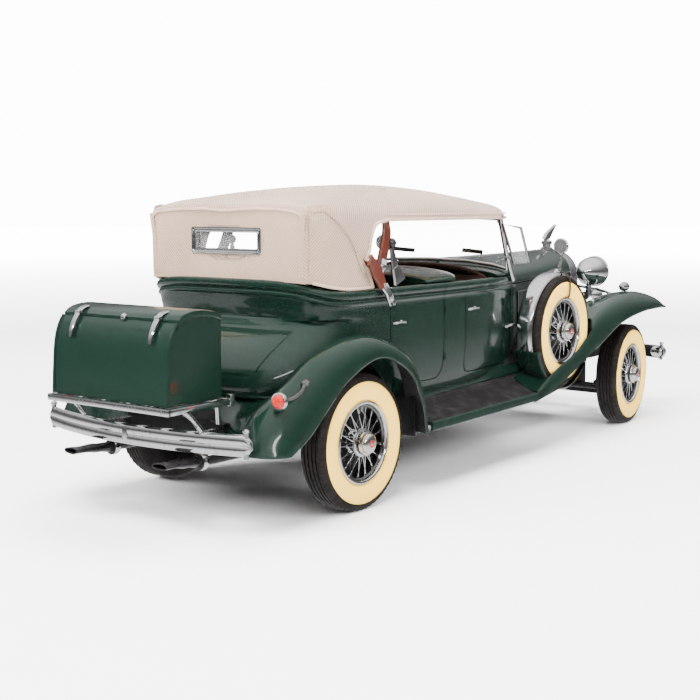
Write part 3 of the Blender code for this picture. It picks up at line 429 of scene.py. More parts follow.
class Mesh:
    """Collects quads and polygons with a finish each, then becomes one object."""

    def __init__(self):
        self.points, self.faces, self.finishes = [], [], []

    def add(self, points, faces, finish):
        base = len(self.points)
        self.points += [Vector(p) for p in points]
        self.faces += [[base + i for i in face] for face in faces]
        self.finishes += [finish] * len(faces)
        return self

    def grid(self, rows, finish, loop=False, ends=False):
        """Quads between rows of points; finish may be a function of (row, column)."""
        wide, base = len(rows[0]), len(self.points)
        for row in rows:
            self.points += [Vector(p) for p in row]
        for r in range(len(rows) - 1):
            for c in range(wide if loop else wide - 1):
                d = (c + 1) % wide
                a, b = base + r * wide, base + (r + 1) * wide
                self.faces.append([a + c, a + d, b + d, b + c])
                self.finishes.append(finish(r, c) if callable(finish) else finish)
        if ends:
            flat = finish(0, 0) if callable(finish) else finish
            self.faces.append([base + c for c in reversed(range(wide))])
            last = base + (len(rows) - 1) * wide
            self.faces.append([last + c for c in range(wide)])
            self.finishes += [flat, flat]
        return self

    def lathe(self, profile, finish, at=(0, 0, 0), axis=(1, 0, 0), steps=64):
        """Turn (radius, distance) rows about an axis; radius 0 rows close the end."""
        turn = Vector(axis).to_track_quat("X", "Z").to_matrix()
        rows = []
        for k in range(steps):
            a = math.tau * k / steps
            rows.append([Vector(at) + turn @ Vector((h, max(r, 0.0005) * math.cos(a),
                                                     max(r, 0.0005) * math.sin(a)))
                         for r, h in profile])
        rows.append(rows[0])
        return self.grid(rows, finish)

    def tube(self, points, radius, finish, around=10, loop=False):
        """Round bar through points; radius may be a list with one value a point."""
        points = [Vector(p) for p in points]
        count = len(points)
        radii = radius if isinstance(radius, (list, tuple)) else [radius] * count
        rows, side = [], None
        for i, p in enumerate(points):
            before = points[i - 1] if i or loop else p
            after = points[(i + 1) % count] if i < count - 1 or loop else p
            ahead = (after - before).normalized()
            if side is None:
                side = ahead.orthogonal().normalized()
            side = (side - ahead * side.dot(ahead)).normalized()
            up = ahead.cross(side)
            rows.append([p + (side * math.cos(math.tau * k / around)
                              + up * math.sin(math.tau * k / around)) * radii[i]
                         for k in range(around)])
        if loop:
            rows.append(rows[0])
        return self.grid(rows, finish, loop=True, ends=not loop)

    def bar(self, points, across, wide, thick, finish, rounded=0.25):
        """Flat strip with rounded edges; across is the direction of its width."""
        points = [Vector(p) for p in points]
        rows = []
        widths = wide if isinstance(wide, (list, tuple)) else [wide] * len(points)
        for i, p in enumerate(points):
            ahead = (points[min(i + 1, len(points) - 1)] - points[max(i - 1, 0)]).normalized()
            w = Vector(across)
            w = (w - ahead * w.dot(ahead)).normalized()
            n = ahead.cross(w)
            a, b = widths[i] / 2, thick / 2
            c = min(rounded, a, b)
            shape = ((a, -b + c), (a, b - c), (a - c, b), (-a + c, b), (-a, b - c), (-a, -b + c),
                     (-a + c, -b), (a - c, -b))
            rows.append([p + w * x + n * y for x, y in shape])
        return self.grid(rows, finish, loop=True, ends=True)

    def ball(self, at, radius, finish, flat=(1, 1, 1)):
        rows = []
        for j in range(13):
            lat = math.pi * (j / 12 - 0.5)
            rows.append([Vector(at) + Vector((radius * math.cos(lat) * math.cos(a) * flat[0],
                                              radius * math.cos(lat) * math.sin(a) * flat[1],
                                              radius * math.sin(lat) * flat[2]))
                         for a in (math.tau * k / 20 for k in range(20))])
        return self.grid(rows, finish, loop=True)

    def block(self, low, high, finish, round_by=0.2):
        """Box with bevelled edges between two opposite corners."""
        bm = bmesh.new()
        bmesh.ops.create_cube(bm, size=1.0)
        size = Vector([abs(c) for c in Vector(high) - Vector(low)])
        bmesh.ops.scale(bm, vec=size, verts=bm.verts)
        bmesh.ops.translate(bm, vec=(Vector(high) + Vector(low)) / 2, verts=bm.verts)
        reach = min(round_by, min(size) * 0.45)
        bmesh.ops.bevel(bm, geom=bm.edges[:], offset=reach, segments=2, profile=0.5,
                        affect="EDGES")
        bm.verts.ensure_lookup_table()
        points = [v.co.copy() for v in bm.verts]
        faces = [[v.index for v in f.verts] for f in bm.faces]
        bm.free()
        return self.add(points, faces, finish)

    def moved(self, matrix):
        self.points = [matrix @ p for p in self.points]
        return self

    def object(self, name, angle=35, facing=None):
        mesh = bpy.data.meshes.new(name)
        mesh.from_pydata([tuple(p * MM) for p in self.points], [], self.faces)
        used = sorted(set(self.finishes))
        for finish in used:
            mesh.materials.append(FINISHES[finish][0])
        place = {finish: i for i, finish in enumerate(used)}
        mesh.polygons.foreach_set("material_index", [place[f] for f in self.finishes])
        bm = bmesh.new()
        bm.from_mesh(mesh)
        bmesh.ops.remove_doubles(bm, verts=bm.verts, dist=WELD * MM)
        bmesh.ops.dissolve_degenerate(bm, edges=bm.edges, dist=WELD * 0.5 * MM)
        bmesh.ops.recalc_face_normals(bm, faces=bm.faces)
        if facing is not None:
            lean = sum((f.normal * f.calc_area() for f in bm.faces), Vector())
            if lean.dot(Vector(facing)) < 0:
                bmesh.ops.reverse_faces(bm, faces=bm.faces)
        bm.to_mesh(mesh)
        bm.free()
        obj = bpy.data.objects.new(name, mesh)
        bpy.context.scene.collection.objects.link(obj)
        soften(obj, angle)
        obj["finish"] = used[0]
        return obj


    def fit(self, name, angle=35, body="car", node=None, facing=None):
        return fit(self.object(name, angle, facing), body, node)


def soften(obj, angle=35):
    obj.data.shade_smooth()
    obj.data.set_sharp_from_angle(angle=math.radians(angle))


def baked(obj, angle=35):
    """Replace an object's mesh with its modifiers' result."""
    bpy.context.view_layer.update()
    seen = obj.evaluated_get(bpy.context.evaluated_depsgraph_get())
    mesh = bpy.data.meshes.new_from_object(seen)
    obj.modifiers.clear()
    obj.data = mesh
    soften(obj, angle)
    return obj


def shell(obj, thickness, inside, angle=35):
    """Give an open surface a thickness below its face; inside is another finish."""
    modifier = obj.modifiers.new("shell", "SOLIDIFY")
    modifier.thickness = thickness * MM
    modifier.offset = -1.0
    modifier.use_even_offset = True
    modifier.use_quality_normals = True
    obj.data.materials.append(FINISHES[inside][0])
    modifier.material_offset = len(obj.data.materials) - 1
    modifier.material_offset_rim = 0
    return baked(obj, angle)


def cut(obj, cutters, operation="DIFFERENCE", angle=35):
    for cutter in cutters:
        modifier = obj.modifiers.new("cut", "BOOLEAN")
        modifier.operation = operation
        modifier.solver = "MANIFOLD"
        modifier.object = cutter
    baked(obj, angle)
    return obj


def remove(*objects):
    for obj in objects:
        bpy.data.objects.remove(obj, do_unlink=True)


def fit(obj, body="car", node=None):
    """Let a finished piece ride on its body and stand for the node it replaces."""
    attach(obj, body)
    if node:
        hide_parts(node)
    return obj


def prism(name, outline, low, high):
    """Cutter: a (y, z) outline swept along X."""
    rows = [[(x, y, z) for y, z in outline] for x in (low, high)]
    return Mesh().grid(rows, "black", loop=True, ends=True).object(name)


# ---------------------------------------------------------------- body

BACK_PROFILE = [
    (25, -93.5), (30, -95), (32.5, -95.8), (36.5, -94.4), (41, -90.5), (45, -85.5),
    (SHELF_Z, -82.6), (SHELF_Z + 0.7, -82), (52, -83.2), (60, -84),
]
SIDE_PROFILE = [(25, -1.5), (30, -0.5), (38, 0.2), (45, 0.2), (52, 0), (60, 0)]
# Belt moulding: a broad rounded roll over a small bead (drop, how far it stands out)
MOULDING = [
    (0, -0.25), (0.12, 0.1), (0.4, 0.38), (0.9, 0.58), (1.4, 0.62), (1.9, 0.5), (2.3, 0.2),
    (2.45, 0.02), (2.65, 0.05), (2.85, 0.3), (3.2, 0.42), (3.6, 0.36), (3.9, 0.1), (4.1, 0),
]


def body_half(y):
    if y <= -20.0:
        return 30.4
    return 30.4 - 3.4 * ((y + 20.0) / 35.0) ** 2


def back_depth(z):
    if SHELF_Z - 0.1 < z < SHELF_Z + 0.8:
        return CORNER_START_Y - height_at(BACK_PROFILE, z)
    return CORNER_START_Y - soft_height(BACK_PROFILE, z)


def corner_power(z):
    return lerp(4.4, 6.5, smooth((z - SHELF_Z) / 0.7))


def body_point(s, z, out=0.0):
    """Outer body surface; s runs 0 at the cowl, 0.5 at the corner's start, 1 at the back."""
    bulge = soft_height(SIDE_PROFILE, z) + out
    if s <= 0.5:
        y = lerp(BODY_FRONT_Y, CORNER_START_Y, s * 2)
        return body_half(y) + bulge, y
    x, d = superellipse(body_half(CORNER_START_Y) + bulge, back_depth(z) + out,
                        corner_power(z), s - 0.5)
    return x, CORNER_START_Y - d


def back_y(x, z):
    """Body's rear face at a place across it."""
    half, power = body_half(CORNER_START_Y) + height_at(SIDE_PROFILE, z), corner_power(z)
    return CORNER_START_Y - back_depth(z) * (1 - (abs(x) / half) ** power) ** (1 / power)


def belt_z(s):
    return BELT_Z + 2.8 * smooth((s - 0.55) / 0.45)


def body_column(s):
    top, low = belt_z(s), lerp(25.5, 30, clamp((s - 0.5) / 0.15))
    points = [(*body_point(s, top - drop, out), top - drop) for drop, out in MOULDING]
    start = top - MOULDING[-1][0]
    crease = (SHELF_Z + 0.7, SHELF_Z + 0.35, SHELF_Z)
    above = [lerp(start, crease[0], k / 3) for k in range(1, 3)]
    below = [lerp(SHELF_Z, low, k / 18) for k in range(1, 19)]
    return points + [(*body_point(s, z), z) for z in (*above, *crease, *below)]


def body_skin(name):
    """Walls and rounded back as one shell, its columns evenly spaced round the corner."""
    stops = [0.5 * k / 56 for k in range(57)]
    bend = [body_point(0.5 + 0.5 * k / 200, BELT_Z) for k in range(201)]
    runs = even([(x, y, 0) for x, y in bend], 34)
    for p in runs[1:]:
        x = p.x / body_half(CORNER_START_Y)
        angle = math.acos(clamp(x, 0, 1) ** (corner_power(BELT_Z) / 2))
        stops.append(0.5 + angle / math.pi)
    right = [body_column(s) for s in stops]
    left = [mirrored(column) for column in reversed(right[:-1])]
    skin = Mesh().grid(right + left, "paint").object(name, 40, facing=(0, -1, 0))
    return shell(skin, 1.0, "trim", 40)


def door_outline(span, follows_fender, grow=0.0):
    """Side view of a door opening as (y, z) rows, with rounded lower corners."""
    back, front = span[0] - grow, span[1] + grow
    low, high, radius = DOOR_SILL_Z - grow, 64, 4.0 if follows_fender else 3.2
    rows = []
    if follows_fender:
        reach = FENDER_CLEAR_R - grow
        start = math.acos((back - REAR_AXLE_Y) / reach)
        stop = math.asin((low - TYRE_R) / reach)
        rows = [(REAR_AXLE_Y + reach * math.cos(a), TYRE_R + reach * math.sin(a))
                for a in (lerp(start, stop, k / 16) for k in range(17))]
    else:
        rows = [(back + radius * (1 + math.cos(a)), low + radius * (1 + math.sin(a)))
                for a in (math.radians(180 + 10 * k) for k in range(10))]
    rows += [(front - radius * (1 - math.cos(a)), low + radius * (1 + math.sin(a)))
             for a in (math.radians(270 + 10 * k) for k in range(10))]
    return rows + [(front, high), (back, high)]


def door_handle(y, z, x, side):
    """Chrome lever on a round boss."""
    handle = Mesh()
    handle.lathe([(0, 0.75), (0.3, 0.7), (0.35, 0.3), (0.5, 0.12), (0.55, 0), (0, -0.2)],
                 "chrome", (side * (x - 0.2), y + 4.5, z), (side, 0, 0), 20)
    handle.tube([(side * (x + 0.9), y + 4.7, z), (side * (x + 1.25), y + 3.2, z + 0.1),
                 (side * (x + 1.3), y + 1.6, z + 0.12), (side * (x + 1), y + 0.2, z),
                 (side * (x + 0.6), y - 0.3, z - 0.1)], [0.4, 0.34, 0.32, 0.36, 0.22], "chrome", 10)
    return handle


def door_card(name, span, follows_fender, side):
    """Leather panel on a door's inner face, a little smaller than the door."""
    heights = [lerp(28.0, 54.4, k / 12) for k in range(13)]
    rows = []
    for k in range(9):
        y = lerp(*span, k / 8)
        face = [(side * (body_half(y) + soft_height(SIDE_PROFILE, z) - 0.95), y, z) for z in heights]
        rows.append(face + [(x - side * 0.85, y, z) for x, y, z in reversed(face)])
    card = Mesh().grid(rows, "leather", loop=True, ends=True).object(name, 35)
    outline = prism("card", door_outline(span, follows_fender, -1.1), *sorted((side * 18, side * 38)))
    cut(card, [outline], "INTERSECT")
    remove(outline)
    return card


def body():
    """Tub and doors, cut from two copies of the skin, with the doors' handles, cards and hinges."""
    tub = body_skin("body_skin")
    skin = body_skin("door_skin")
    cutters = []
    for hand, side in sides():
        hollow = Mesh().lathe([(0, 14), (20.5, 14), (20.5, -14), (0, -14)], "black",
                              (side * 34, REAR_AXLE_Y, TYRE_R), (side, 0, 0), 64)
        cutters.append(hollow.object("arch"))
        for row, span, follows in (("rear", REAR_DOOR, True), ("front", FRONT_DOOR, False)):
            reach = sorted((side * 18, side * 38))
            cutters.append(prism("hole", door_outline(span, follows, GAP / 2), *reach))
            inner = prism("leaf", door_outline(span, follows, -GAP / 2), *reach)
            door = skin.copy()
            door.data = skin.data.copy()
            door.name = f"{row}_door_{hand}"
            bpy.context.scene.collection.objects.link(door)
            cut(door, [inner], "INTERSECT", 40)
            remove(inner)
            body_name = f"door_{row}_{hand}"
            fit(door, body_name, body_name)
            lever_y = span[0] + 0.6
            lever_z = 45.8 if follows else 47.0
            lever = door_handle(lever_y, lever_z, body_half(lever_y) + 0.35, side)
            lever.fit(f"{row}_handle_{hand}", body=body_name)
            fit(door_card(f"{row}_door_card_{hand}", span, follows, side), body_name)
            hinges = Mesh()
            for z in (34.5, 47.5):
                x = body_half(span[1]) + height_at(SIDE_PROFILE, z)
                hinges.tube([(side * (x + 0.1), span[1] + 0.75, z - 1),
                             (side * (x + 0.1), span[1] + 0.75, z + 1)], 0.5, "paint", 12)
            hinges.fit(f"{row}_hinges_{hand}")
    cut(tub, cutters, "DIFFERENCE", 40)
    remove(skin, *cutters)
    fit(tub, "car", "body_tub")
    tail_panel()
    cowls()


def tail_panel():
    """Raised panel on the tail, and a bead along the bottom of the body's back."""
    rows = []
    for k in range(15):
        z = lerp(35, 45.6, k / 14)
        half = lerp(18.2, 22, k / 14)
        edge = 0.0 if k in (0, 14) else 0.35
        row = [(-half, back_y(half, z) + 0.1, z)]
        row += [(x, back_y(x, z) - edge, z) for x in
                (lerp(-half + 0.25, half - 0.25, j / 24) for j in range(25))]
        rows.append(row + [(half, back_y(half, z) + 0.1, z)])
    Mesh().grid(rows, "paint").fit("tail_panel", 25, facing=(0, -1, 0))
    lip = [body_point(lerp(0.66, 1.0, k / 30), 30.2, 0.05) for k in range(31)]
    line = [(x, y, 30.1) for x, y in lip]
    line += mirrored(reversed(line[:-1]))
    Mesh().tube(line, 0.45, "paint", 8).fit("tail_bead")


def arch_panel(name, ys, halves, foot_z, crests, inner_z, power, inset, node):
    rows = []
    for y, half, crest in zip(ys, halves, crests):
        row = [(-half + inset, y, inner_z), (-half + inset, y, foot_z), (-half, y, foot_z)]
        row += [(x, y, foot_z + z) for x, z in reversed(arch(half, crest - foot_z, power))]
        rows.append(row + [(half, y, foot_z), (half - inset, y, foot_z),
                           (half - inset, y, inner_z)])
    Mesh().grid(rows, "paint", loop=True, ends=True).fit(name, node=node)


def cowls():
    """Front cowl with its vent and dash roll, and the second cowl behind the front seat."""
    ys = [3, 3.35, 5.5, 8, 11, 14.2, 14.9, BODY_FRONT_Y]
    crest = [57.6, 57.95, 58.2, 58.45, 58.6, 58.75, 58.75, 58.4]
    arch_panel("cowl_skin", ys, [body_half(y) + 0.35 for y in ys], BELT_Z + GAP, crest, 50,
               2.2, 2.1, "cowl")
    ys = [-36.5, -36.1, -33, -30, -27, -24, -21.9, -21.5]
    crest = [57.2, 57.5, 58, 58.3, 58.6, 58.8, 58.9, 58.7]
    arch_panel("tonneau_skin", ys, [30.3] * 8, BELT_Z + GAP, crest, 53.2, 2.8, 1.9, "tonneau_cowl")
    edge = [(x, -21.6, BELT_Z + GAP + z) for x, z in arch(29.9, 3.4, 2.8)]
    Mesh().tube(edge, 0.26, "pale", 8).fit("tonneau_roll")
    dash = [(x, 3.1, 50.6 + z) for x, z in arch(27.2, 7.6, 2.6, 30)]
    Mesh().tube(dash, 0.75, "trim", 10).fit("dash_roll")
    vent = Mesh().block((-4.2, 6.2, 58.1), (4.2, 10.6, 58.95), "paint", 0.35)
    vent.fit("cowl_vent")


# ---------------------------------------------------------------- hood and radiator

def hood_size(y):
    t = (y - HOOD_Y[0]) / (HOOD_Y[1] - HOOD_Y[0])
    return lerp(*HOOD_HALF, t), lerp(*HOOD_CREST, t), lerp(*HOOD_POWER, t)


def hood():
    """Two hinged leaves over two fixed flanks, with the hinge rod along the crest."""
    ys = [lerp(*HOOD_Y, k / 24) for k in range(25)]
    for hand, side in sides():
        top_rows, low_rows = [], []
        for y in ys:
            half, crest, power = hood_size(y)
            row = [(side * (half + 0.12), y, SHOULDER_Z + 0.15),
                   (side * (half + 0.28), y, SHOULDER_Z + 0.5),
                   (side * (half + 0.12), y, SHOULDER_Z + 0.95)]
            for k in range(3, 41):
                x, rise = superellipse(half, crest - SHOULDER_Z, power, 0.5 * k / 40)
                if rise > 1.0:
                    row.append((side * max(x, GAP / 2), y, SHOULDER_Z + GAP / 2 + rise))
            top_rows.append(even(row, 40))
            low_rows.append([(side * (half + bulge), y, z) for z, bulge in
                             ((SHOULDER_Z - 0.15, 0), (50, 0.08), (47, 0.2), (44, 0.3),
                              (40, 0.28), (36, 0.22), (33, 0.2))])
        top = Mesh().grid(top_rows, "paint").object(f"hood_leaf_{hand}", 40, facing=(0, 0, 1))
        shell(top, 0.8, "black", 40)
        fit(top, f"hood_top_{hand}", f"hood_top_{hand}")
        low = Mesh().grid(low_rows, "paint").object(f"hood_flank_{hand}", 40,
                                                     facing=(side, 0, 0))
        shell(low, 0.8, "black", 40)
        fit(low, "car", f"hood_side_{hand}")
        vents(hand, side)
    rod = Mesh().tube([(0, HOOD_Y[0], HOOD_CREST[0] + 0.2), (0, HOOD_Y[1], HOOD_CREST[1] + 0.2)],
                      0.28, "chrome", 10)
    rod.fit("hood_hinge_rod")


def vents(hand, side):
    """Upright vent doors along the hood side, each with a chrome edge, and the latch."""
    doors, trim = Mesh(), Mesh()
    first, pitch, wide, low, high = 22.5, 9.2, 7.6, 38.6, 49.6
    for k in range(6):
        y = first + k * pitch
        half = hood_size(y + wide / 2)[0]
        taper = (HOOD_HALF[0] - HOOD_HALF[1]) / (HOOD_Y[1] - HOOD_Y[0]) * wide / 2
        frame = [(side * (half + taper + 0.55), y, low), (side * (half - taper + 0.55), y + wide, low),
                 (side * (half - taper + 0.45), y + wide, high),
                 (side * (half + taper + 0.45), y, high)]
        pts, back = [Vector(p) for p in frame], [Vector(p) - Vector((side * 0.7, 0, 0)) for p in frame]
        doors.grid([back, pts], "paint", loop=True, ends=True)
        trim.tube(pts, 0.2, "chrome", 6, loop=True)
        knob = Vector((side * (half + 0.9), y + wide / 2, (low + high) / 2))
        trim.ball(knob, 0.45, "chrome")
    doors.fit(f"hood_vents_{hand}", 30)
    for y in (15, 16.4):
        half = hood_size(max(y, HOOD_Y[0]))[0]
        trim.tube([(side * (half + 0.5), y, 34), (side * (half + 0.55), y, 44),
                   (side * (half + 0.3), y, SHOULDER_Z - 0.4)], 0.16, "paint", 6)
    trim.fit(f"hood_vent_trim_{hand}")
    lever = Mesh().tube(at(side, (27.9, 10.4, 39.6), (28.6, 12.6, 39.9),
                         (28.2, 16.2, 40)), [0.4, 0.5, 0.35], "chrome", 8)
    lever.fit(f"hood_latch_{hand}")


def radiator():
    """Chromed shell round a dark core with upright shutters."""
    shell_mesh, core = Mesh(), Mesh()

    def ring(y, half, crest, foot=27):
        row = [(x, y, 50 + z) for x, z in arch(half, crest - 50, 2.2, 36)]
        return row + [(-half * 0.92, y, foot), (half * 0.92, y, foot)]
    steps = [(86, 11.2, 60.4), (91.4, 11.2, 60.4), (92.3, 11, 60.2), (92.9, 10.5, 59.7),
             (93, 10, 59.2), (92.7, 9.5, 58.7), (91.6, 9.3, 58.5)]
    shell_mesh.grid([ring(y, half, crest, 27.0 + (60.4 - crest) * 0.8) for y, half, crest in steps],
                    "chrome", loop=True)
    back = ring(86, 11.2, 60.4)
    shell_mesh.add(back, [list(range(len(back)))], "chrome")
    shell_mesh.fit("radiator_surround", 40, node="radiator_shell")
    core.add(ring(91.2, 9.4, 58.6, 28.4), [list(range(39))], "floor_black")
    for k in range(21):
        x = lerp(-8.7, 8.7, k / 20)
        top = 50.0 + 8.4 * (1 - (abs(x) / 9.4) ** 2.2) ** (1 / 2.2)
        core.bar([(x, 91.9, 28.6), (x, 91.9, top)], (0.8, 0.45, 0), 0.62, 0.16, "dull_chrome", 0.05)
    core.fit("radiator_core", 30)
    cap = Mesh().lathe([(0, 0), (2.3, 0), (2.3, 0.8), (1.6, 1.2), (1.5, 2), (2, 2.3),
                        (2, 3.2), (1.2, 3.6), (0.5, 4.6), (0.45, 6.2), (0, 6.4)], "chrome",
                       (0, 88.6, 60), (0, 0, 1), 32)
    fin = [(86.2, 64.4), (88, 66.2), (91.5, 67.8), (95, 69.2), (92.6, 67), (90.4, 64.6),
           (88.6, 63.4)]
    cap.grid([[(x * w, y, z) for y, z in fin] for x, w in ((-0.7, 1), (-0.35, 1), (0.35, 1), (0.7, 1))],
             "chrome", loop=True, ends=True)
    cap.fit("radiator_cap", 40)


# ---------------------------------------------------------------- fenders and boards

# Rows of a fender: outer lip (x, y, z), crown (x, y, z) and inner edge (x, y, z).
REAR_FENDER = [
    (38.6, -47.7, 16.3, 34.5, -46.4, 16.5, 31.3, -46.6, 16.5),
    (38.6, -50, 25.5, 34.5, -47.5, 27.5, 31.3, -47.9, 27.3),
    (38.6, -56.5, 34.2, 34.5, -53.6, 38, 31.3, -54.2, 37.4),
    (38.6, -69, 38.9, 34, -69.5, 44.2, 31.2, -69.5, 43.6),
    (38.6, -82, 34.9, 33.5, -86, 42.2, 30.2, -83.6, 39.2),
    (38.6, -90.5, 28.7, 33, -97, 36, 28.2, -93, 32.6),
    (38.6, -97.5, 23, 32, -106.5, 28.5, 24.4, -101, 28.6),
    (38.2, -103.6, 19.4, 32.5, -111, 20, 23, -107, 20.4),
]
FRONT_FENDER = [
    (38.6, 13.4, 17.6, 37.8, 13.4, 20.2, 29.6, 13.4, 24),
    (38.6, 26, 20.4, 37.4, 25, 25.3, 29.4, 26, 27.2),
    (38.6, 42, 26.2, 37.2, 40.5, 30.6, 28.6, 42, 31.6),
    (38.6, 56, 31.4, 36, 54, 39.2, 25.6, 56, 37),
    (38.6, 70, 36.7, 34, 68.5, 44.2, 22.4, 70, 41.2),
    (38.6, 87, 39.4, 32.5, 87, 46.2, 19.4, 87, 42.6),
    (38, 104, 39.9, 30.5, 104.5, 44.4, 18.2, 103, 40.4),
    (34.6, 116.5, 38.9, 28, 119.2, 39.4, 19, 114.5, 36.8),
]


def fender_rows(table, side):
    """Rows across a fender: a quarter arch from the lip to the crown, then in to the body."""
    stations, outer, inner, rows = 72, 16, 12, []
    for i in range(stations + 1):
        r = along(table, i / stations)
        lip, crown, inside = Vector(r[0:3]), Vector(r[3:6]), Vector(r[6:9])
        row = []
        for k in range(outer + 1):
            c, s = math.cos(math.pi / 2 * k / outer), math.sin(math.pi / 2 * k / outer)
            row.append((crown.x + (lip.x - crown.x) * c, crown.y * s + lip.y * (1 - s),
                        crown.z * s + lip.z * (1 - s)))
        for k in range(1, inner + 1):
            t = k / inner
            row.append((lerp(crown.x, inside.x, t), lerp(crown.y, inside.y, t * t),
                        lerp(crown.z, inside.z, t * t)))
        rows.append([(side * x, y, z) for x, y, z in row])
    return rows


def fenders():
    """Fenders with a bead along the edge, and what is fixed to them: boards, wells and splash walls."""
    for hand, side in sides():
        for place, table in (("rear", REAR_FENDER), ("front", FRONT_FENDER)):
            rows = fender_rows(table, side)
            skin = Mesh().grid(rows, "paint").object(f"{place}_fender_skin_{hand}", 50,
                                                     facing=(side, 0, 1))
            shell(skin, 0.8, "black", 50)
            bead = [Vector(row[0]) + Vector((-side * 0.25, 0, 0.1)) for row in rows]
            if place == "front":
                well = Mesh().lathe([(0, 4.5), (18, 4.5), (18, -4.5), (0, -4.5)], "black",
                                    (side * 33.05, *SPARE[1:]), (side, 0, 0), 72).object("well")
                cut(skin, [well], angle=50)
                remove(well)
                bead = [p for p in bead if p.y > SPARE[1] + 17]     # only ahead of the spare
            fit(skin, node=f"{place}_fender_{hand}")
            bead += [Vector(p) for p in rows[-1][2:]]
            Mesh().tube(bead, 0.38, "paint", 8).fit(f"{place}_fender_bead_{hand}")
        running_board(hand, side)
        spare_well(hand, side)
        wall = Mesh().block((side * 24, -48, 15.2), (side * 34.5, -47.3, 30), "black")
        wall.fit(f"rear_splash_{hand}")


def rear_apron():
    """Painted apron below the tail, between the rear fenders' inner edges."""
    rows = []
    for k in range(21):
        edge = along([r[6:9] for r in REAR_FENDER], lerp(0.56, 1, k / 20))
        inner = Vector((10, lerp(-93.2, -103, k / 20), lerp(30.4, 21.5, (k / 20) ** 1.5)))
        rows.append([edge.lerp(inner, j / 14) + Vector((0, 0, -2.2 * math.sin(math.pi * j / 14) ** 0.8))
                     for j in range(15)])
    for hand, side in sides():
        flank = [[Vector((side * p.x, p.y, p.z)) for p in row] for row in rows]
        piece = Mesh().grid(flank, "paint").object(f"rear_apron_{hand}", 40, facing=(0, -1, 1))
        fit(shell(piece, 0.5, "black", 40))
    middle = [[(x, y, z) for x in (-10, -5, 0, 5, 10)] for y, z in
              ((-93.2, 30.4), (-95.6, 28.6), (-97.8, 26.4), (-100.4, 24), (-102.4, 22))]
    piece = Mesh().grid(middle, "black").object("rear_apron_middle", 40, facing=(0, -1, 0.5))
    fit(shell(piece, 0.5, "black", 40))


def spare_well(hand, side):
    """Cup in the front fender that the spare wheel stands in, and the floor plate behind it."""
    x0, y0, z0 = SPARE
    rows = []
    for k in range(49):
        a = math.radians(lerp(196, 368, k / 48))
        rows.append([(side * (x0 + h), y0 + r * math.cos(a), z0 + r * math.sin(a)) for h, r in
                     ((4.1, 17.9), (4, 18.2), (3.4, 18.6), (0, 18.7), (-3.6, 18.6), (-4.4, 18.2),
                      (-4.6, 17), (-4.6, 13))])
    cup = Mesh().grid(rows, "paint").object(f"spare_well_{hand}", 40, facing=(side, 0, -1))
    fit(shell(cup, 0.35, "black", 40))
    plate = Mesh().grid([[(side * x, y, z) for x, z in
                          ((37.7, low), (33, low + 1.6), (29.2, low + 4.6), (28, low + 9),
                           (26.2, low + 12.5))]
                         for y, low in ((12.6, 17.2), (17, 17.9), (22, 18.6), (27, 19.4),
                                        (34, 21))],
                        "matting").object(f"spare_well_floor_{hand}", 40, facing=(side, 0, 1))
    fit(shell(plate, 0.4, "black", 40))


def running_board(hand, side):
    """Ribbed matting inside a rounded painted edge, with a painted apron up to the sill."""
    board = Mesh()
    ends = ((-45.4, 16.8), (13, 17.5))

    def strip(profile, finish, loop=False, front=ends[1]):
        rows = [[(side * a, y, z + b) for a, b in profile] for y, z in (ends[0], front)]
        board.grid(rows, finish, loop=loop, ends=loop)
    ribs, x = [], 37.7

    def rise(x):
        return 2.2 + 4.6 * clamp((37.7 - x) / 8.9) ** 1.4
    while x > 29.2:
        ribs += [(x, rise(x)), (x - 0.12, rise(x) + 0.22), (x - 0.42, rise(x) + 0.24),
                 (x - 0.54, rise(x) + 0.06)]
        x -= 0.72
    strip([(37.9, 1.4), (37.9, 2.2)] + ribs + [(28.6, 7), (28.4, 5.6), (32, 1.4)], "matting", True)
    strip([(38.6, 0.1), (38.62, 1.5), (38.5, 2.1), (38.2, 2.4), (37.85, 2.35), (37.8, 1.6),
           (37.9, 1), (37.9, 0), (38.3, -0.05)], "paint", True)
    strip([(28.8, 6.6), (28.4, 7.2), (28.2, 8), (28, 9.4), (27.5, 9.4), (27.6, 6.6),
           (28.2, 5)], "paint", True, (28, 19))
    board.fit(f"running_board_{hand}_skin", 35, node=f"running_board_{hand}")


# ---------------------------------------------------------------- wheels

def tyre_mesh():
    """Tyre about X at the origin, its outer face towards +X."""
    outer = [(10.75, 3.1), (11, 3.5), (11.6, 3.75), (12.6, 3.95), (13.6, 4), (14.6, 3.92),
             (15.2, 3.78), (15.45, 3.62)]
    shoulder = [(15.5, 3.5), (15.7, 3.55), (16.2, 3.5), (16.7, 3.3), (17.1, 2.95), (17.35, 2.5)]
    tread = []
    for h in (1.75, 0.6, -0.6, -1.75):
        tread += [(TYRE_R, h + 0.2), (17.05, h + 0.14), (17.05, h - 0.14), (TYRE_R, h - 0.2)]
    back = [(17.35, -2.6), (17.1, -3), (16.7, -3.4), (16.2, -3.6), (14.2, -4), (12.2, -3.7),
            (RIM_R, -2.9), (RIM_R, 2.4), (10.6, 2.9)]
    profile = outer + shoulder + tread + back + [outer[0]]
    white = len(outer) - 1
    mesh = Mesh().lathe(profile, lambda r, c: "whitewall" if c < white else "tyre", steps=96)
    for k in range(60):
        a = math.tau * k / 60
        turn = Matrix.Rotation(a, 3, "X")
        mesh.bar([turn @ Vector((3.35, 0, 16.5)), turn @ Vector((2.55, 0, 17.32))],
                 turn @ Vector((0, 1, 0)), 0.55, 0.35, "tyre", 0.1)
    return mesh


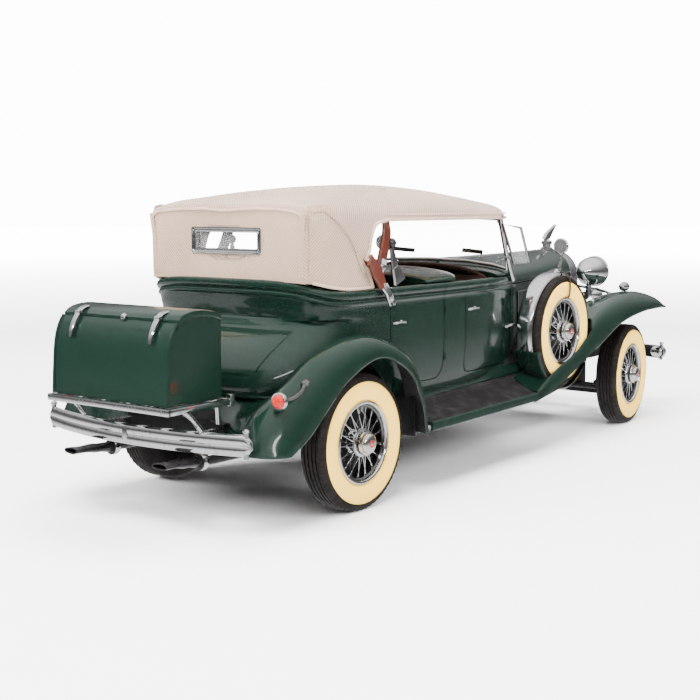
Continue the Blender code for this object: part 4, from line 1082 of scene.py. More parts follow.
def wire_wheel():
    """Rim, crossed spokes and stepped hub about X at the origin, cap towards +X."""
    rim = [(10.7, 2.4), (10.72, 3.1), (10.55, 3.45), (10.2, 3.6), (9.8, 3.5), (9.55, 3.2),
           (9.5, 2.7), (9.1, 2.4), (8.9, 1.2), (8.8, -1.4), (9.3, -2.4), (10.2, -3)]
    # The rim's outer lip is chrome; its inner well and back take the darker chrome, painted shade.
    mesh = Mesh().lathe(rim + [rim[0]], lambda r, c: "chrome" if c < 6 else "dark_chrome", steps=72)
    # Dark disc inside the rim: painted shade behind the spokes.
    mesh.lathe([(0, -1.3), (8.65, -1.3), (8.65, -1.9), (0, -1.9)], "floor_black", steps=48)
    mesh.lathe([(3.2, -1.2), (3.2, 0.2), (2.6, 0.6), (2.6, 1.8), (3.6, 2.2), (3.75, 2.6), (3.6, 3),
                (3.1, 3.2), (3.05, 4), (3.2, 4.2), (3.1, 4.5), (2.6, 4.7), (2.5, 5.3), (2.3, 5.6),
                (1.9, 5.8), (1, 5.95), (0.95, 5.85)], "chrome", steps=48)
    mesh.lathe([(0.95, 5.85), (0.9, 5.95), (0.55, 5.98), (0.5, 5.9)], "red", steps=32)
    mesh.lathe([(0.5, 5.9), (0.42, 6.05), (0, 6.1)], "chrome", steps=24)
    # The front set of spokes is chrome; the back set takes the darker chrome, painted shade.
    for count, hub_r, hub_h, rim_h, lean, shift, finish in (
            (17, 3.5, 2.7, 2, 0.20, 0, "chrome"), (11, 3.1, 0.4, -0.6, 0.30, 0.5, "dark_chrome")):
        for k in range(count):
            for way in (1, -1):
                start = math.tau * (k + 0.04 * way + shift) / count
                end = start + way * lean
                mesh.tube([(hub_h, hub_r * math.cos(start), hub_r * math.sin(start)),
                           (rim_h, 9.1 * math.cos(end), 9.1 * math.sin(end))], 0.11, finish, 6)
    return mesh


def wheels():
    """Four road wheels and two spares, with their tyres."""
    for hand, side in sides():
        face = Matrix.Rotation(0 if side > 0 else math.pi, 4, "Z")
        rear = Matrix.Translation((side * WHEEL_X, REAR_AXLE_Y, TYRE_R)) @ face
        turn = Matrix.Rotation(math.radians(STEER_AT_REST), 4, "Z")
        front = (Matrix.Translation((side * KINGPIN_X, FRONT_AXLE_Y, TYRE_R)) @ turn
                 @ Matrix.Translation((side * (WHEEL_X - KINGPIN_X), 0, 0)) @ face)
        spare = Matrix.Translation((side * SPARE[0], *SPARE[1:])) @ face
        for place, matrix, body_name in (("rear", rear, f"wheel_rear_{hand}"),
                                         ("front", front, f"wheel_front_{hand}"),
                                         ("spare", spare, "car")):
            node = (f"spare_tyre_{hand}", f"spare_wheel_{hand}")
            if place != "spare":
                node = (f"tyre_{place}_{hand}", f"wheel_{place}_{hand}")
            tyre = tyre_mesh().moved(matrix).object(f"{place}_tyre_{hand}", 30)
            fit(tyre, body_name, node[0])
            rim = wire_wheel().moved(matrix).object(f"{place}_wire_wheel_{hand}", 35)
            fit(rim, body_name, node[1])


def spare_fittings():
    """Chrome tread cover, strap and mirror on each spare wheel."""
    for hand, side in sides():
        x0, y0, z0 = SPARE
        cover = Mesh()
        rows = []
        for k in range(49):
            a = math.radians(lerp(74, 212, k / 48))
            half, low = lerp(3.9, 3.4, k / 48), TYRE_R + GAP
            row = []
            for t, r in ((-1.09, -0.55), (-1.06, -0.1), (-0.95, 0.35), (-0.8, 0.65), (-0.4, 0.82),
                         (0.4, 0.82), (0.8, 0.65), (0.95, 0.35), (1.06, -0.1), (1.09, -0.55),
                         (0.98, -0.6), (0.9, 0), (0.6, 0.18), (-0.6, 0.18), (-0.9, 0),
                         (-0.98, -0.6)):
                row.append((side * (x0 + half * (0.72 * t - 0.34)), y0 + (low + r) * math.cos(a),
                            z0 + (low + r) * math.sin(a)))
            rows.append(row)
        cover.grid(rows, "chrome", loop=True, ends=True)
        cover.fit(f"spare_band_{hand}", 40, node=f"spare_cover_{hand}")
        strap, a0 = Mesh(), math.radians(84)
        line = [(side * (x0 + h), y0 + r * math.cos(a0), z0 + r * math.sin(a0)) for h, r in
                ((3.7, 10.4), (4.25, 11.4), (4.4, 13.6), (4.15, 15.6), (3.7, 17.2), (2.6, 17.9),
                 (0.8, 18.6), (-1.5, 18.8))]
        strap.bar(curve(line, 24), (0, -math.sin(a0), math.cos(a0)), 0.8, 0.3, "trim", 0.12)
        strap.fit(f"spare_strap_{hand}")
        mirror = Mesh()
        mirror.lathe([(0, 0.7), (2.3, 0.7), (2.6, 0.35), (2.5, -0.2), (1.7, -0.9), (0, -1.3)],
                     "chrome", (side * 34.6, y0 + 0.6, z0 + 26.6), (0, -1, 0), 32)
        mirror.tube(at(side, (34.6, y0 + 1, z0 + 26), (34.2, y0 + 1, z0 + 22),
                     (33.6, y0 + 0.6, z0 + 18.6)), [0.45, 0.5, 0.75], "dull_chrome", 10)
        mirror.lathe([(0, 1.1), (0.7, 1), (1, 0.3), (1.2, 0), (0, -0.3)], "chrome",
                     (side * 33.2, y0 + 0.6, z0 + 18.5), (0, 0, 1), 20)
        mirror.fit(f"mirror_{hand}")


# ---------------------------------------------------------------- canvas top

CREST = [(-84, 76.6), (-82.3, 77), (-76, 78.6), (-60, 80.8), (-45, 81.8), (-30, 82.3),
         (-14, 81.3), (-2, 79.9), (TOP_FRONT_Y, 78.3)]
OPENING = [(54.6, -60.4), (58, -61.6), (61, -62.9), (62.6, -63), (63.8, -62),
           (64.6, -61.4), (66.5, -60.8), (68.8, -59.9), (71, -58.4), (72.1, -56.5),
           (EAVE_Z, -52)]
ROLL = 1.7                      # how round the canvas is at its rear edges
WINDOW_Z = (65.4, 69.7)
WINDOW_HALF = 10.6


def roof_arch(y, eave_x, count=48):
    crest, power = soft_height(CREST, y), height_at([(-82.3, 4.6), (-72, 3.2), (-58, 2.5)], y)
    fine = arch(eave_x, crest - EAVE_Z, power, 400)
    return even([(x, y, EAVE_Z + z) for x, z in fine], count + 1)


def wall_x(y, z):
    t = (z - 56) / (EAVE_Z - 56)
    full = lerp(29.6, EAVE_X, t) + 0.6 * t * clamp((-62.0 - y) / 14)
    corner = max(0, (-73.0 - y) / (-73.0 - TOP_BACK_Y))
    return full - lerp(2.4, 1.6, t) * corner ** 2.2


def canvas_foot(y):
    return soft_height([(-82.3, 57.4), (-77.0, 56.2), (-70.0, 55.4), (-60.0, 55.4)], y)


def ripple(p):
    """Slack and soft folds of the cloth, in millimetres."""
    x, y, z = p
    return (0.07 * math.sin(x * 0.31 + z * 0.23 + 1.3) * math.sin(y * 0.19 + 0.4)
            + 0.04 * math.sin(x * 0.83 - y * 0.37 + z * 0.71))


def canvas_rows():
    levels = [k / 24 for k in range(24)]
    ahead = [lerp(TOP_FRONT_Y, -49.0, k / 30) for k in range(31)]
    behind = [lerp(OPENING[-1][1], TOP_BACK_Y, k / 26) for k in range(27)]
    rows = []
    for y in ahead + behind:
        t = (OPENING[-1][1] - y) / (OPENING[-1][1] - TOP_BACK_Y)
        wall = []
        for level in levels:
            foot = canvas_foot(lerp(-59.5, TOP_BACK_Y, max(t, 0)))
            z = lerp(foot, EAVE_Z, level)
            place = lerp(soft_height(OPENING, z), TOP_BACK_Y, max(t, 0)) if t >= 0 else y
            wall.append(Vector((wall_x(place, z), place, z)))
        roof = roof_arch(y, wall_x(y, EAVE_Z))
        rows.append(wall + roof + mirrored(reversed(wall)))
    return rows, len(ahead), len(levels)


def canvas_back(loop):
    """Rounded edge between the roof and walls and the curtain, from the last row of the shell."""
    strips = [loop]
    for k in range(1, 7):
        a = math.pi / 2 * k / 6
        row = []
        for p in loop:
            drop = -1.0 if p.z > EAVE_Z + 1.5 else (-0.35 if p.z > EAVE_Z - 1 else 0)
            inward = Vector((-math.copysign(min(1, abs(p.x) / 8), p.x), 0, drop))
            low = clamp((p.z - canvas_foot(TOP_BACK_Y)) / 2)
            row.append(p + inward.normalized() * ROLL * (1 - math.cos(a))
                       + Vector((0, -ROLL * math.sin(a) * lerp(0.8, 1, low), 0)))
        strips.append(row)
    return strips


def canvas_patch(edge, walls):
    """Surface through the edge's four sides: right wall, roof, left wall and foot."""
    count = len(edge)
    right, roof = edge[:walls + 1], edge[walls:count - walls]
    left = edge[count - walls - 1:][::-1]
    wide, rows = len(roof) - 1, []
    foot = [right[0].lerp(left[0], k / wide) for k in range(wide + 1)]
    for k, p in enumerate(foot):
        p.z += 0.5 * (1 - (2 * k / wide - 1) ** 2)
    for j in range(walls + 1):
        v = j / walls
        row = []
        for k in range(wide + 1):
            u = k / wide
            p = (foot[k] * (1 - v) + roof[k] * v + right[j] * (1 - u) + left[j] * u
                 - (right[0] * (1 - u) * (1 - v) + left[0] * u * (1 - v) + right[-1] * (1 - u) * v
                    + left[-1] * u * v))
            hollow = math.exp(-(p.x / 15) ** 2) * math.exp(-((p.z - 67) / 6) ** 2)
            inside = min(u, 1 - u, 0.12) / 0.12
            p.y += 1.3 * hollow * inside + ripple((p.x * 1.6, 0, p.z * 1.3)) * inside
            row.append(p)
        rows.append(row)
    return rows


def canvas():
    rows, ahead, walls = canvas_rows()
    count = len(rows[0])
    cloth = Mesh()
    for row in rows:
        cloth.points += [p + Vector((0, 0, ripple(p) * (1 if walls < j < count - walls else 0)))
                         for j, p in enumerate(row)]
    for r in range(len(rows) - 1):
        for c in range(count - 1):
            if r < ahead and (c < walls or c >= count - 1 - walls):
                continue
            a, b = r * count, (r + 1) * count
            cloth.faces.append([a + c, a + c + 1, b + c + 1, b + c])
            cloth.finishes.append("canvas")
    strips = canvas_back([Vector(p) for p in cloth.points[-count:]])
    cloth.grid(strips, "canvas")
    cloth.grid(canvas_patch(strips[-1], walls), "canvas")
    top = cloth.object("canvas_sheet", 60, facing=(0, 0, 1))
    shell(top, 0.55, "binding", 60)
    hole = Mesh().block((-WINDOW_HALF, -90, WINDOW_Z[0]), (WINDOW_HALF, -76, WINDOW_Z[1]), "black", 0.3)
    cutter = hole.object("window_hole")
    cut(top, [cutter], angle=50)
    remove(cutter)
    weave_attribute(top)
    fit(top, "car", "canvas_top")
    trims = canvas_trim(rows, ahead, walls, strips[-1])


def weave_attribute(obj):
    """Cloth coordinates in millimetres: across and along on each panel."""
    layer = obj.data.attributes.new("weave", "FLOAT_VECTOR", "POINT")
    for i, vertex in enumerate(obj.data.vertices):
        x, y, z = (c / MM for c in vertex.co)
        if y < TOP_BACK_Y - 0.9:
            value = (x, z, 0)
        elif z < EAVE_Z:
            value = (math.copysign(31.0 + EAVE_Z - z, x), y, 0)
        else:
            value = (x * 1.06, y, 0)
        layer.data[i].vector = value


def canvas_trim(rows, ahead, walls, edge):
    """Bound edges, the welt down each quarter, the back seams and the window frame."""
    count, trims = len(rows[0]), []
    for hand, side in sides():
        pick = (lambda row, j: row[j]) if side > 0 else (lambda row, j: row[count - 1 - j])
        line = [pick(row, walls) + Vector((side * 0.15, 0, 0.1)) for row in rows[:ahead + 1]]
        opening = [pick(rows[ahead], j) + Vector((side * 0.1, 0.1, 0)) for j in range(walls, -1, -1)]
        bound = Mesh().tube(even(line + opening[1:], 110), 0.5, "binding", 8)
        foot = [pick(row, 0) + Vector((side * 0.15, 0, 0.2)) for row in rows[ahead:]]
        bound.tube(foot, 0.4, "binding", 8)
        second = [p + Vector((side * 0.35, 0, 1.3)) for p in line]
        bound.tube(second, 0.22, "binding", 6)
        trims.append(bound.fit(f"canvas_binding_{hand}"))
        welt = []
        for y, z in ((-82.6, 75.6), (-78.6, 75.3), (-75.6, 74), (-73.2, 72.4), (-70.6, 70.2),
                     (-68.4, 68), (-66.9, 65.6), (-65.4, 62.4), (-63.5, 59.4)):
            if z > EAVE_Z:
                roof = roof_arch(y, wall_x(y, EAVE_Z), 60)
                p = min((q for q in roof if q.x > 0), key=lambda q: abs(q.z - z) + 0.02 * abs(q.x - 27))
                welt.append((side * (p.x + 0.25), y, p.z + 0.1))
            else:
                welt.append((side * (wall_x(y, z) + 0.2), y, z))
        smooth_line = even(curve(welt, 60), 60)
        band = Mesh().bar(smooth_line, (0, 0.75, 0.66), 2, 0.5, "canvas", 0.22)
        trims.append(band.fit(f"quarter_welt_{hand}"))
        weave_attribute(trims[-1])
    seams = Mesh()
    top_line = [p + Vector((0, -0.12, -0.2)) for p in edge[walls + 2:count - walls - 2]]
    seams.tube(top_line, 0.36, "binding", 8)
    for side in (1, -1):
        line = [(side * x, y, z) for x, y, z in ((26.2, -84.25, 74.4), (25.7, -84.1, 70.5),
                (25.4, -83.9, 66.5), (25.3, -83.9, 62), (25.2, -83.9, 58.8))]
        seams.bar(curve(line, 24), (1, 0, 0), 1.5, 0.34, "canvas", 0.14)
        for k in range(34):
            p = along(line, (k + 0.5) / 34)
            for shift in (-0.52, 0.52):
                seams.tube([p + Vector((shift, -0.2, 0.15)), p + Vector((shift, -0.2, -0.15))], 0.07,
                           "binding", 5)
    trims.append(seams.fit("curtain_seams"))
    weave_attribute(trims[-1])
    frame_piece, middle_z = Mesh(), sum(WINDOW_Z) / 2
    rings = []
    for grow, y in ((1.5, -82.4), (1.55, -83.3), (1.4, -83.75), (1.05, -83.8), (0.85, -83.45),
                    (0.5, -83.5), (0.35, -83.75), (0.05, -83.7), (-0.1, -83.3), (-0.1, -81.9),
                    (1.5, -81.9)):
        half, tall = WINDOW_HALF + grow, (WINDOW_Z[1] - WINDOW_Z[0]) / 2 + grow * 0.86
        turn_r, loop = 0.45, []
        for qx, qz, a0 in ((1, 1, 0), (-1, 1, 90), (-1, -1, 180), (1, -1, 270)):
            for k in range(5):
                a = math.radians(a0 + 22.5 * k)
                loop.append((qx * (half - turn_r) + turn_r * math.cos(a), y,
                             middle_z + qz * (tall - turn_r) + turn_r * math.sin(a)))
        rings.append(loop)
    frame_piece.grid(rings + [rings[0]], "chrome", loop=True)
    trims.append(frame_piece.fit("rear_window_frame"))
    pane = Mesh().block((-WINDOW_HALF - 0.4, -82.7, WINDOW_Z[0] - 0.4),
                        (WINDOW_HALF + 0.4, -82.3, WINDOW_Z[1] + 0.4), "pane", 0.1)
    trims.append(pane.fit("rear_window_pane"))
    return trims


def bows():
    """Flat varnished boards with chrome feet and knuckles."""
    for hand, side in sides():
        feet = Mesh()
        feet.bar(at(side, (32.4, -56, 51), (32.4, -57.6, 54.2), (31.4, -59.3, 56.6)),
                 (0, 1, 0.4), [2, 2.4, 2.2], 0.9, "chrome", 0.3)
        for k in range(3):
            feet.tube(at(side, (32.9, -56.6 + 0.7 * k, 51.6), (32, -59.0 + 0.7 * k, 56.6)),
                      0.24, "chrome", 6)
        feet.lathe([(0, 0.8), (0.8, 0.7), (1, 0.2), (1.1, -0.4), (0, -0.6)], "chrome",
                   (side * 32.7, -56.1, 51.6), (side, 0, 0), 20)
        feet.bar(at(side, (30, -58.3, 59.3), (29.5, -56.7, 60.7), (28.9, -55.2, 62.3)),
                 (0, 1, 0.5), 2.7, 1.2, "chrome", 0.35)
        feet.lathe([(0, 0.9), (0.7, 0.7), (0.9, 0.1), (0, -0.4)], "chrome",
                   (side * 30.1, -57, 60.6), (side, 0, 0), 20)
        feet.fit(f"bow_fittings_{hand}")
    rear = Mesh()
    for side in (1, -1):
        board = [(31.8, -59, 55.6), (31.7, -60.4, 58), (31.5, -62.2, 60.6), (31.2, -63.9, 62.8)]
        rear.bar(curve([(side * x, y, z) for x, y, z in board], 14), (0, -0.8, 0.6),
                 [lerp(2.9, 4.8, clamp(k / 7)) for k in range(14)], 0.9, "wood", 0.25)
    half = [(29.2, -61.4, 60.4), (28.2, -64.6, 63.2), (26.8, -68.8, 67.4), (25.6, -71.3, 69.8),
            (23.4, -73.9, 72.8), (14, -75.4, 74.8)]
    line = across(half, (0, -75.8, 75.6))
    rear.bar(curve(line, 80), (0, -0.8, 0.6), 2.6, 0.9, "wood", 0.25)
    rear.fit("rear_bow_boards", node="rear_bow")
    half = [(30.2, -59, 58.8), (29.6, -57, 60.4), (28.6, -54.9, 62.9), (28.2, -52.8, 67.4),
            (27.4, -51.6, 71.6), (24.4, -50.2, 74.9), (13, -48.6, 78.2)]
    line = across(half, (0, -47.6, 79.4))
    main_bow = Mesh().bar(curve(line, 90), (0, -0.8, 0.6), 3.7, 0.9, "wood", 0.25)
    main_bow.fit("main_bow_boards", node="main_bow")
    for name, y, x, z in (("middle_bow", -20, 26.4, 79.8), ("front_bow", 4, 26.2, 77)):
        line = [(a, y, 73.2 + b) for a, b in arch(x, z - 73.2, 2.6)]
        Mesh().bar(line, (0, 1, 0), 2, 0.7, "wood", 0.2).fit(name)


# ---------------------------------------------------------------- windscreen and cabin

def windscreen():
    """Leaning frame and pane, with wing windows and wipers."""
    foot_z, base_z, top_z = 56.6, 59.6, 72.4

    def lean(z):
        return lerp(11.6, 6.2, (z - foot_z) / (top_z - foot_z))
    half = [(0, base_z), (14, base_z - 0.4), (23, base_z - 1.4), (27.6, foot_z + 0.6),
            (28.2, 60.5), (27.9, 70.8), (27, top_z), (14, top_z + 0.5)]
    points = [(x, lean(z), z) for x, z in half] + [(0, lean(top_z), top_z + 0.7)]
    points += [(-x, lean(z), z) for x, z in reversed(half[1:])]
    ring = Mesh().tube(points, 0.55, "chrome", 12, loop=True)
    for side in (1, -1):
        ring.tube([(side * 28.6, lean(57) + 2.2, 53.6), (side * 28.5, lean(57) + 0.4, 57),
                   (side * 28.3, lean(64), 64), (side * 28.2, lean(72), 72.6)], 0.75, "chrome", 12)
        ring.ball((side * 28.2, lean(73), 73), 0.95, "chrome")
    ring.fit("windscreen_surround", node="windscreen_frame")
    pane = [(0, base_z + 0.4), (14, base_z + 0.1), (23, base_z - 0.9), (27, 58),
            (27.7, 60.7), (27.4, 70.6), (26.6, top_z - 0.4), (14, top_z + 0.1), (0, top_z + 0.3)]
    outline = pane + [(-x, z) for x, z in reversed(pane[1:-1])]
    rings = [[(x, lean(z) + offset, z) for x, z in outline] for offset in (-0.2, 0.2)]
    fit(Mesh().grid(rings, "pane", loop=True, ends=True).object("windscreen_pane"), "car",
        "windscreen_glass")
    for hand, side in sides():
        corners = [(31, 2.7, 71), (33.4, 9.5, 69.7), (34.6, 12.8, 59.3), (31.8, 8.7, 58.9)]
        wing = [Vector((side * x, y, z)) for x, y, z in corners]
        piece = Mesh().tube(wing, 0.48, "dull_chrome", 10, loop=True)
        piece.tube([wing[0].lerp(wing[3], 0.2), Vector((side * 28.3, 6.4, 69))], 0.35, "chrome", 8)
        piece.tube([wing[0].lerp(wing[3], 0.85), Vector((side * 28.4, 9.6, 60.8))], 0.35, "chrome", 8)
        piece.fit(f"wing_window_frame_{hand}")
        out = (wing[1] - wing[0]).cross(wing[3] - wing[0]).normalized() * 0.15
        glass_mesh = Mesh().grid([[p - out for p in wing], [p + out for p in wing]], "pane",
                                 loop=True, ends=True)
        glass_mesh.fit(f"wing_window_pane_{hand}")
    for name, low_x, high_x in (("right", 13.4, 20.6), ("left", -14.2, -4.4)):
        wiper = Mesh().bar([(low_x, lean(62.3) - 0.9, 62.7), (high_x, lean(62.3) - 0.9, 62.2)],
                           (0, 0.2, 1), 1.35, 0.5, "gloss_black", 0.15)
        wiper.fit(f"wiper_{name}")
    rear_posts()


def rear_posts():
    """Short post with a dark knob and a spread chrome foot on each rear side rail."""
    for hand, side in sides():
        post, x = Mesh(), 28.9
        post.bar([(side * x, -47.6, 56.2), (side * x, -48.2, 57.6), (side * (x - 0.2), -49.4, 60.2)],
                 (0, 1, 0.3), [5.4, 4.6, 3], 1.1, "chrome", 0.4)
        post.bar([(side * (x - 0.2), -49.3, 60), (side * (x - 0.5), -50.4, 65.2)], (0, 1, 0.3),
                 [3, 1.6], 0.8, "dull_chrome", 0.3)
        post.ball((side * (x - 0.5), -50.5, 66.6), 1.35, "gloss_black")
        post.fit(f"rear_post_{hand}")


def pleated_pad(name, rows_from, half, thick, pleats, node, normal):
    """Cushion between two lines of places, crowned, with sewn channels across its width."""
    start, end = Vector((0, *rows_from[0])), Vector((0, *rows_from[1]))
    normal = Vector((0, *normal)).normalized()
    rows, deep, wide = [], 26, 96
    for i in range(deep + 1):
        v = i / deep
        rounded_v = (1 - abs(2 * v - 1) ** 5) ** 0.45
        row = []
        for k in range(wide + 1):
            u = 2 * k / wide - 1
            rounded_u = (1 - abs(u) ** 9) ** 0.4
            channel = abs(math.sin(math.pi * pleats * (u + 1) / 2)) ** 0.45
            edge = min(1, 6 * min(v, 1 - v))
            rise = thick * rounded_u * rounded_v * (1 - 0.16 * (1 - channel) * edge)
            rise += 0.25 * math.sin(u * 5.1 + v * 3.7)
            row.append(start.lerp(end, v) + Vector((u * half, 0, 0)) + normal * max(rise, 0.05))
        rows.append(row)
    base = [[p - normal * (normal.dot(p - start.lerp(end, i / deep)) + 0.8) for p in row]
            for i, row in enumerate(rows)]
    pad = Mesh().grid(rows, "leather").grid(base, "leather")
    for i in range(deep):
        for k in (0, wide):
            pad.add([rows[i][k], rows[i + 1][k], base[i + 1][k], base[i][k]], [[0, 1, 2, 3]], "leather")
    for i in (0, deep):
        for k in range(wide):
            pad.add([rows[i][k], rows[i][k + 1], base[i][k + 1], base[i][k]], [[0, 1, 2, 3]],
                    "leather")
    pad.fit(name, 60, node=node)


def seats():
    """Two pleated seats, the dash with its dials, and the steering wheel."""
    for name, back, front, half, top in (("front_seat", -22.5, 0.5, 25, 53),
                                         ("rear_seat", -78.5, -53, 19.6, 53.5)):
        pleated_pad(name + "_cushion", ((back + 6, 35.6), (front - 0.3, 36)), half, 4.2, 12, name,
                    (0, 1))
        pleated_pad(name + "_back", ((back + 4.4, 38), (back + 2.2, top - 1.2)), half, 3.6, 12, None,
                    (1, 0.1))
        frame_mesh = Mesh().block((-half, back + 4.6, 27.3), (half, front - 0.6, 35.4), "trim", 0.8)
        frame_mesh.block((-half, back + 1, 27.3), (half, back + 4, top - 0.8), "trim", 1.2)
        frame_mesh.fit(name + "_frame")
        roll = [(lerp(-half, half, k / 30), back + 2.8 - 1.2 * (2 * k / 30 - 1) ** 4, top + 0.1)
                for k in range(31)]
        Mesh().tube(roll, 0.9, "leather", 10).fit(name + "_roll")
    lining = Mesh()
    lining.block((-24, 2.2, 38), (24, 2.9, 55.4), "trim", 0.3)
    for x in (-15, -9, 0, 8):
        lining.lathe([(0, 0.5), (1.7, 0.45), (2, 0.2), (2.1, -0.1), (0, -0.2)], "chrome", (x, 2.1, 51),
                     (0, -1, 0), 24)
    lining.fit("cabin_trim")
    wheel_centre = Vector((-12, -4, 49.5))
    slope = Vector((0, -16, 13)).normalized()
    turn = slope.to_track_quat("Z", "Y").to_matrix()
    steering = Mesh()
    rim = [wheel_centre + turn @ Vector((x, y, 0)) for x, y in circle(48, 6.5)]
    steering.tube(rim, 0.5, "gloss_black", 10, loop=True)
    for k in range(4):
        a = math.pi / 4 + k * math.pi / 2
        tip = wheel_centre + turn @ Vector((6.4 * math.cos(a), 6.4 * math.sin(a), 0))
        steering.tube([wheel_centre, tip], 0.28, "chrome", 8)
    steering.lathe([(0, 0.8), (0.8, 0.7), (1.3, 0.2), (1.2, -0.5), (0, -0.6)], "chrome", wheel_centre,
                   slope, 24)
    fit(steering.object("steering_wheel_rim"), "steering_wheel", "steering_wheel")


# ---------------------------------------------------------------- bumpers and lamps

def bumper(name, end, middle, z, node):
    """Two-ribbed bar across the car, with its clamp, end bolts and arms."""
    out = 1 if middle > end else -1
    half, steps = 34.2, 60
    low, high = z
    tall = high - low
    face = [(0, 0.3), (0.03, 0.65), (0.12, 0.9), (0.28, 1), (0.44, 0.92), (0.5, 0.74),
            (0.56, 0.92), (0.72, 1), (0.88, 0.9), (0.97, 0.65), (1, 0.3), (0.95, 0),
            (0.05, 0)]
    bar, rows = Mesh(), []

    def bow(x):
        return lerp(middle, end, (x / half) ** 2)
    for k in range(steps + 1):
        x = lerp(-half, half, k / steps)
        pinch = 1 - 0.6 * clamp((abs(x) - half + 1)) ** 2
        rows.append([(x, bow(x) - out * 1.4 * (1 - depth), (low + high) / 2 + (t - 0.5) * tall * pinch)
                     for t, depth in face])
    bar.grid(rows, "chrome", loop=True, ends=True)
    for x in (-33, 33):
        y = bow(x) - out * 0.9
        bar.tube([(x, y, low - 0.4), (x, y, high + 0.7)], 0.6, "chrome", 14)
        bar.ball((x, y, high + 0.8), 0.85, "chrome", (1, 1, 0.7))
    for x in (-15, 15):
        bar.block((x - 1.2, bow(x) - out * 1.4, 21.3), (x + 1.2, bow(x) - out * 7, 23.7),
                  "dull_chrome", 0.3)
    bar.block((-0.9, middle + out * 0.1, low + 0.6), (0.9, middle - out * 1.6, high - 0.6), "chrome",
              0.35)
    for x in (-32.2, 32.2) if out > 0 else ():
        bar.lathe([(0, 2), (1.3, 1.8), (2.1, 1), (2.3, -0.5), (2, -2.6), (1.2, -3.4), (0, -3.6)],
                  "chrome", (x, end + 0.6, (low + high) / 2), (math.copysign(1, x), 0, 0), 24)
    inner = 114 if out > 0 else -104
    for x in (15, -15):
        bar.bar([(x, bow(x) - out, 22.5), (x / 15 * 14.6, inner, 22.4)], (0, 0, 1), 2.3, 1,
                "dull_chrome", 0.25)
    bar.fit(name + "_bar", 40, node=node)


def headlamps():
    """Headlamps, fender lamps and horns, and the bar that carries them."""
    for hand, side in sides():
        centre = (side * 18.4, 86.2, 52.8)
        lamp = Mesh().lathe([(5.2, 5), (5.5, 4.7), (5.5, 4.2), (5.25, 3.9), (5.3, 3), (5.1, 1),
                             (4.7, -0.8), (4, -2.2), (3, -3.8), (1.9, -5), (0.9, -5.6), (0, -5.9)],
                            "chrome", centre, (0, 1, 0), 48)
        lamp.lathe([(0, 0.4), (1.4, 0.6), (3.2, 1.9), (4.6, 3.6), (5.1, 4.9)], "chrome", centre,
                   (0, 1, 0), 48)
        lamp.tube([(centre[0], 86.2, 48), (centre[0], 86.2, 44.2)], [0.9, 1.3], "chrome", 16)
        lamp.fit(f"headlamp_shell_{hand}", 30, node=f"headlamp_{hand}")
        lens = Mesh().lathe([(0, 6.3), (1.5, 6.2), (3.4, 5.8), (4.9, 5.1), (5.15, 4.8)], "lens", centre,
                            (0, 1, 0), 48)
        for k in range(9):
            x = lerp(-4, 4, k / 8)
            tall = math.sqrt(max(0, 4.6 ** 2 - x * x))
            lens.tube([(centre[0] + x, 86.2 + 6.1 - 0.045 * (x * x + t * t), 52.8 + t)
                       for t in (lerp(-tall, tall, j / 8) for j in range(9))], 0.14, "lens", 6)
        lens.fit(f"headlamp_lens_{hand}")
        marker = Mesh().lathe([(0, 2.3), (1.1, 2.1), (1.6, 1.4), (1.7, 0.2), (1.3, -1.4), (0.6, -2.2),
                               (0, -2.4)], "dull_chrome", (side * 31.5, 87, 47.9), (0, 1, 0), 28)
        marker.tube(at(side, (31.5, 86.6, 46.6), (31.5, 86.2, 44.6)), [0.4, 0.7], "chrome", 10)
        marker.fit(f"fender_lamp_{hand}")
        horn = Mesh().lathe([(0, 5.2), (2.2, 5.4), (2.5, 5.7), (2.3, 5.2), (1.3, 3.6), (0.75, 1),
                             (0.8, -2), (1.5, -2.6), (1.6, -4.2), (0, -4.4)], "chrome",
                            (side * 12.6, 99, 43.4), (0, 1, 0), 32)
        horn.tube(at(side, (12.6, 96, 43.4), (12.6, 95.4, 39)), 0.5, "chrome", 10)
        horn.fit(f"horn_{hand}", 30)
    bar = Mesh().tube(curve([(-30, 87.4, 43.6), (-24, 88, 45.8), (-12, 89.6, 47.4),
                             (0, 94, 47.8), (12, 89.6, 47.4), (24, 88, 45.8),
                             (30, 87.4, 43.6)], 50), 0.5, "chrome", 10)
    bar.fit("lamp_crossbar")


def tail_lamps():
    """Round red lamps on curved stalks."""
    for hand, side in sides():
        centre = (side * 36, -104.4, 32.2)
        lens = Mesh().lathe([(0, 2.25), (0.9, 2.15), (1.4, 1.85), (1.65, 1.4), (1.65, 0.8)], "red",
                            centre, (0, -1, 0), 32)
        lens.fit(f"tail_lens_{hand}", node=f"tail_lamp_{hand}")
        body_mesh = Mesh().lathe([(1.65, 1.25), (2, 1.3), (2.15, 1), (2.1, 0.4), (1.8, -0.3),
                                  (1.1, -1.1), (0, -1.3)], "chrome", centre, (0, -1, 0), 32)
        line = curve(at(side, (36.2, -103.6, 32.2), (36.8, -101, 32.6),
                      (37, -98.2, 34), (36.2, -96.2, 35.4)), 16)
        # Stalk and boss in the darker chrome: painted shade on chrome parts.
        body_mesh.tube(line, 0.45, "dark_chrome", 10)
        body_mesh.lathe([(0, 0.6), (0.7, 0.5), (1.1, 0.1), (1.1, -0.3), (0, -0.5)], "dark_chrome",
                        line[-1], (0, -0.55, 0.83), 24)
        body_mesh.fit(f"tail_lamp_case_{hand}", 35)


# ---------------------------------------------------------------- trunk and rack

TRUNK_HALF = 19.4
TRUNK_FRONT = -106.3
TRUNK_FOOT = 31.5
TRUNK_BACK = [(-124.2, TRUNK_FOOT), (-123.9, 37), (-123.4, 42.6), (-122.8, 45.8),
              (-121.8, 48.4), (-120.6, 50.2)]
TRUNK_ARC = [(-120.3, 50.9), (-119, 51.9), (-117, 52.5), (-114.5, 52.8), (-111.5, 52.7),
             (-108.8, 52.2), (TRUNK_FRONT, 51.4)]


